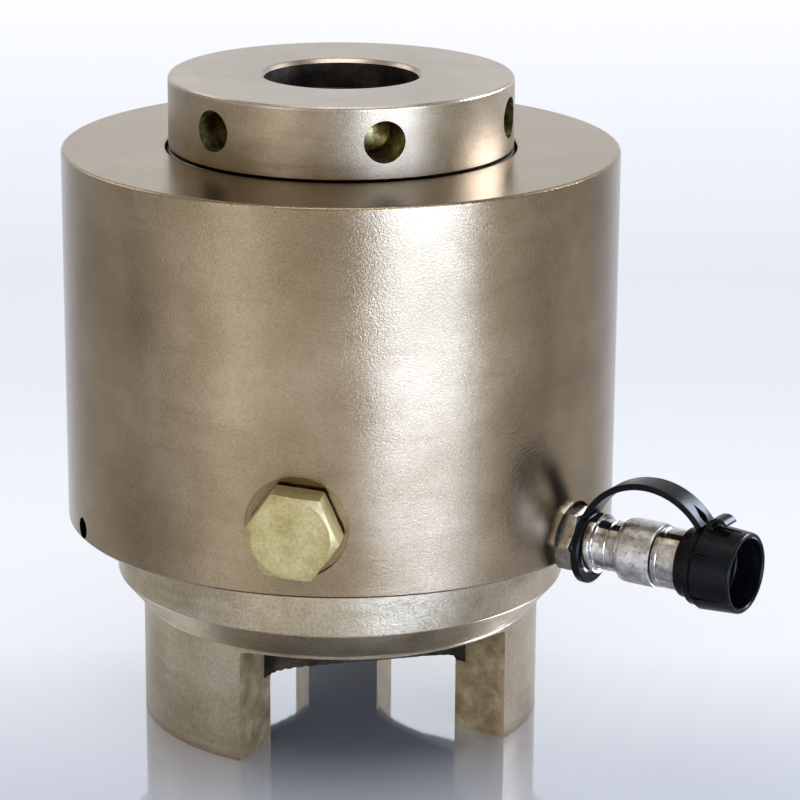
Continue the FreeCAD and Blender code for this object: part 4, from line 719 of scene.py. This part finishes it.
cut_away(cap, tab, operation="UNION")
ease_edges(cap, 0.2, segments=2, angle=50)
lay_along_port(cap, port_bearing, port_height)
finish_piece(cap, cap_rubber, "cap", "cap_rubber", "dust_cap")


# Strap and its loops.
# The same rubber, moulded flat: one loop hangs on the adaptor's spigot, one grips the cap's waist.
# The band bends in an arch between them and forks round the waist.
loop_sag = 2.4
neck_loop = turn_profile("strap_neck_loop", [
    (9.4, 108.2), (9.8, 107.7), (12.4, 107.7), (13.0, 108.3), (13.0, 110.3), (12.4, 110.9), (9.8, 110.9),
    (9.4, 110.4),
], 96)
lay_along_port(neck_loop, port_bearing, port_height - loop_sag)
finish_piece(neck_loop, cap_rubber, "tool_body", "cap_rubber", "strap_neck_ring")
cap_loop = turn_profile("strap_cap_loop", [
    (12.4, 153.4), (14.1, 153.4), (14.5, 153.8), (14.5, 156.2), (14.1, 156.6), (12.4, 156.6),
], 96)
lay_along_port(cap_loop, port_bearing, port_height)
finish_piece(cap_loop, cap_rubber, "cap", "cap_rubber", "strap_cap_ring")

foot = Vector((0, 10.5, 109.3))
crown = Vector((0, 25.3, 129.15))
heel = Vector((0, 14.8, 155.0))
chord_a, chord_b = crown - foot, heel - foot
across = chord_a.cross(chord_b)
middle = foot + (across.cross(chord_a) * chord_b.length_squared
                 + chord_b.cross(across) * chord_a.length_squared) / (2 * across.length_squared)
sweep = (foot - middle).angle(crown - middle) + (crown - middle).angle(heel - middle)
outwards = (foot - middle).normalized()
bpy.ops.object.select_all(action="DESELECT")
bpy.ops.mesh.primitive_plane_add(size=1.0, location=(0, 0, 0))
band = bpy.context.object
band.name = "strap_band"
for vertex in band.data.vertices:
    side = 5.5 if vertex.co.x > 0 else -5.5
    rise = 1.3 if vertex.co.y > 0 else -1.1
    vertex.co = (foot + outwards * rise + Vector((side, 0, 0))) * MM
bpy.ops.object.mode_set(mode="EDIT")
bpy.ops.mesh.select_all(action="SELECT")
bpy.ops.mesh.bevel(offset=0.7 * MM, segments=3, affect="VERTICES")
bpy.ops.mesh.select_all(action="SELECT")
bpy.ops.mesh.spin(steps=56, angle=sweep, center=middle * MM, axis=(-1, 0, 0))
bpy.ops.mesh.select_all(action="SELECT")
bpy.ops.mesh.normals_make_consistent(inside=False)
bpy.ops.object.mode_set(mode="OBJECT")
bpy.ops.object.select_all(action="DESELECT")
bpy.ops.mesh.primitive_cylinder_add(vertices=4, radius=1.0, depth=30 * MM,
                                    location=(0, 17.0 * MM, 154.0 * MM), rotation=(math.radians(90), 0, 0))
gap = bpy.context.object
gap.scale = (2.0 * MM, 4.0 * MM, 1.0)
bpy.ops.object.transform_apply(location=True, rotation=True, scale=True)
cut_away(band, gap)
for room, height in (
    (turn_profile("neck_loop_room", [(0, 99), (12.7, 99), (12.7, 120), (0, 120)], 96), -loop_sag),
    (turn_profile("cap_loop_room", [(0, 144), (14.6, 144), (14.6, 167), (0, 167)], 96), 0.0),
):
    room.location = (0, height * MM, 0)
    pick(room)
    bpy.ops.object.transform_apply(location=True)
    cut_away(band, room)
lay_along_port(band, port_bearing, port_height)
finish_piece(band, cap_rubber, None, "cap_rubber", "strap")
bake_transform(band)


# Small parts inside.
# Seals, springs and turned parts that show only through the holes or when the tool is opened.
# Each keeps its solid and gets the finish of the real one.
def plain_finish(name, colour, worn, rough, metallic, grain_mm, relief_mm, nodes):
    """A worn two-tone finish with a fine grain, put on solids that are kept as they are."""
    material, tree = new_material(name)
    place = add_node(tree, "ShaderNodeTexCoord").outputs["Object"]
    cloud = add_node(tree, "ShaderNodeTexNoise", {"Scale": 120.0, "Detail": 4.0}, Vector=place)
    grain = add_node(tree, "ShaderNodeTexNoise", {"Scale": 1.0 / (grain_mm * MM), "Detail": 3.0},
                     Vector=place)
    tone = add_node(tree, "ShaderNodeValToRGB", {"stops": [(0.35, colour), (0.68, worn)]},
                    Fac=cloud.outputs["Fac"])
    roughness = add_node(tree, "ShaderNodeMapRange", {"To Min": rough - 0.08, "To Max": rough + 0.08},
                         Value=cloud.outputs["Fac"])
    relief = add_node(tree, "ShaderNodeBump", {"Strength": 0.4, "Distance": relief_mm * MM},
                      Height=grain.outputs["Fac"])
    surface = add_node(tree, "ShaderNodeBsdfPrincipled", {"Metallic": metallic},
                       Base_Color=tone.outputs["Color"], Roughness=roughness.outputs[0],
                       Normal=relief.outputs[0])
    add_node(tree, "ShaderNodeOutputMaterial", None, Surface=surface.outputs[0])
    for node in nodes:
        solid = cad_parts[node]
        solid.data.materials.clear()
        solid.data.materials.append(material)


plain_finish("black_oxide_on_set_screws", "15161A", "2B2C30", 0.38, 0.9, 0.5, 0.04, ["set_screws"])
plain_finish("ground_bearing_steel", "8F9296", "B5B8BB", 0.20, 1.0, 0.4, 0.02,
             ["gland_ring", "puller_retaining_ring", "valve_poppet"])
plain_finish("oiled_ground_steel", "2B2926", "4A4742", 0.30, 1.0, 0.4, 0.02, ["piston"])
plain_finish("polished_ball_steel", "B2B5B9", "CDD0D3", 0.10, 1.0, 0.4, 0.01, ["locking_balls"])
plain_finish("blued_spring_steel", "2C3038", "4B4F59", 0.30, 1.0, 0.4, 0.03,
             ["return_disc_springs", "sleeve_spring", "valve_spring"])
plain_finish("nitrile_rubber", "0F1012", "1D1E20", 0.55, 0.0, 0.3, 0.03,
             ["gland_o_ring", "nose_o_ring", "plug_seal", "adaptor_seal", "wiper_ring"])
plain_finish("polyurethane_seal", "2E5E3B", "3B7049", 0.42, 0.0, 0.4, 0.02, ["gland_rod_seal", "piston_seal"])
plain_finish("filled_fluoroplastic", "6A5238", "7F6647", 0.48, 0.0, 0.3, 0.02,
             ["piston_backup_ring", "piston_guide_band"])
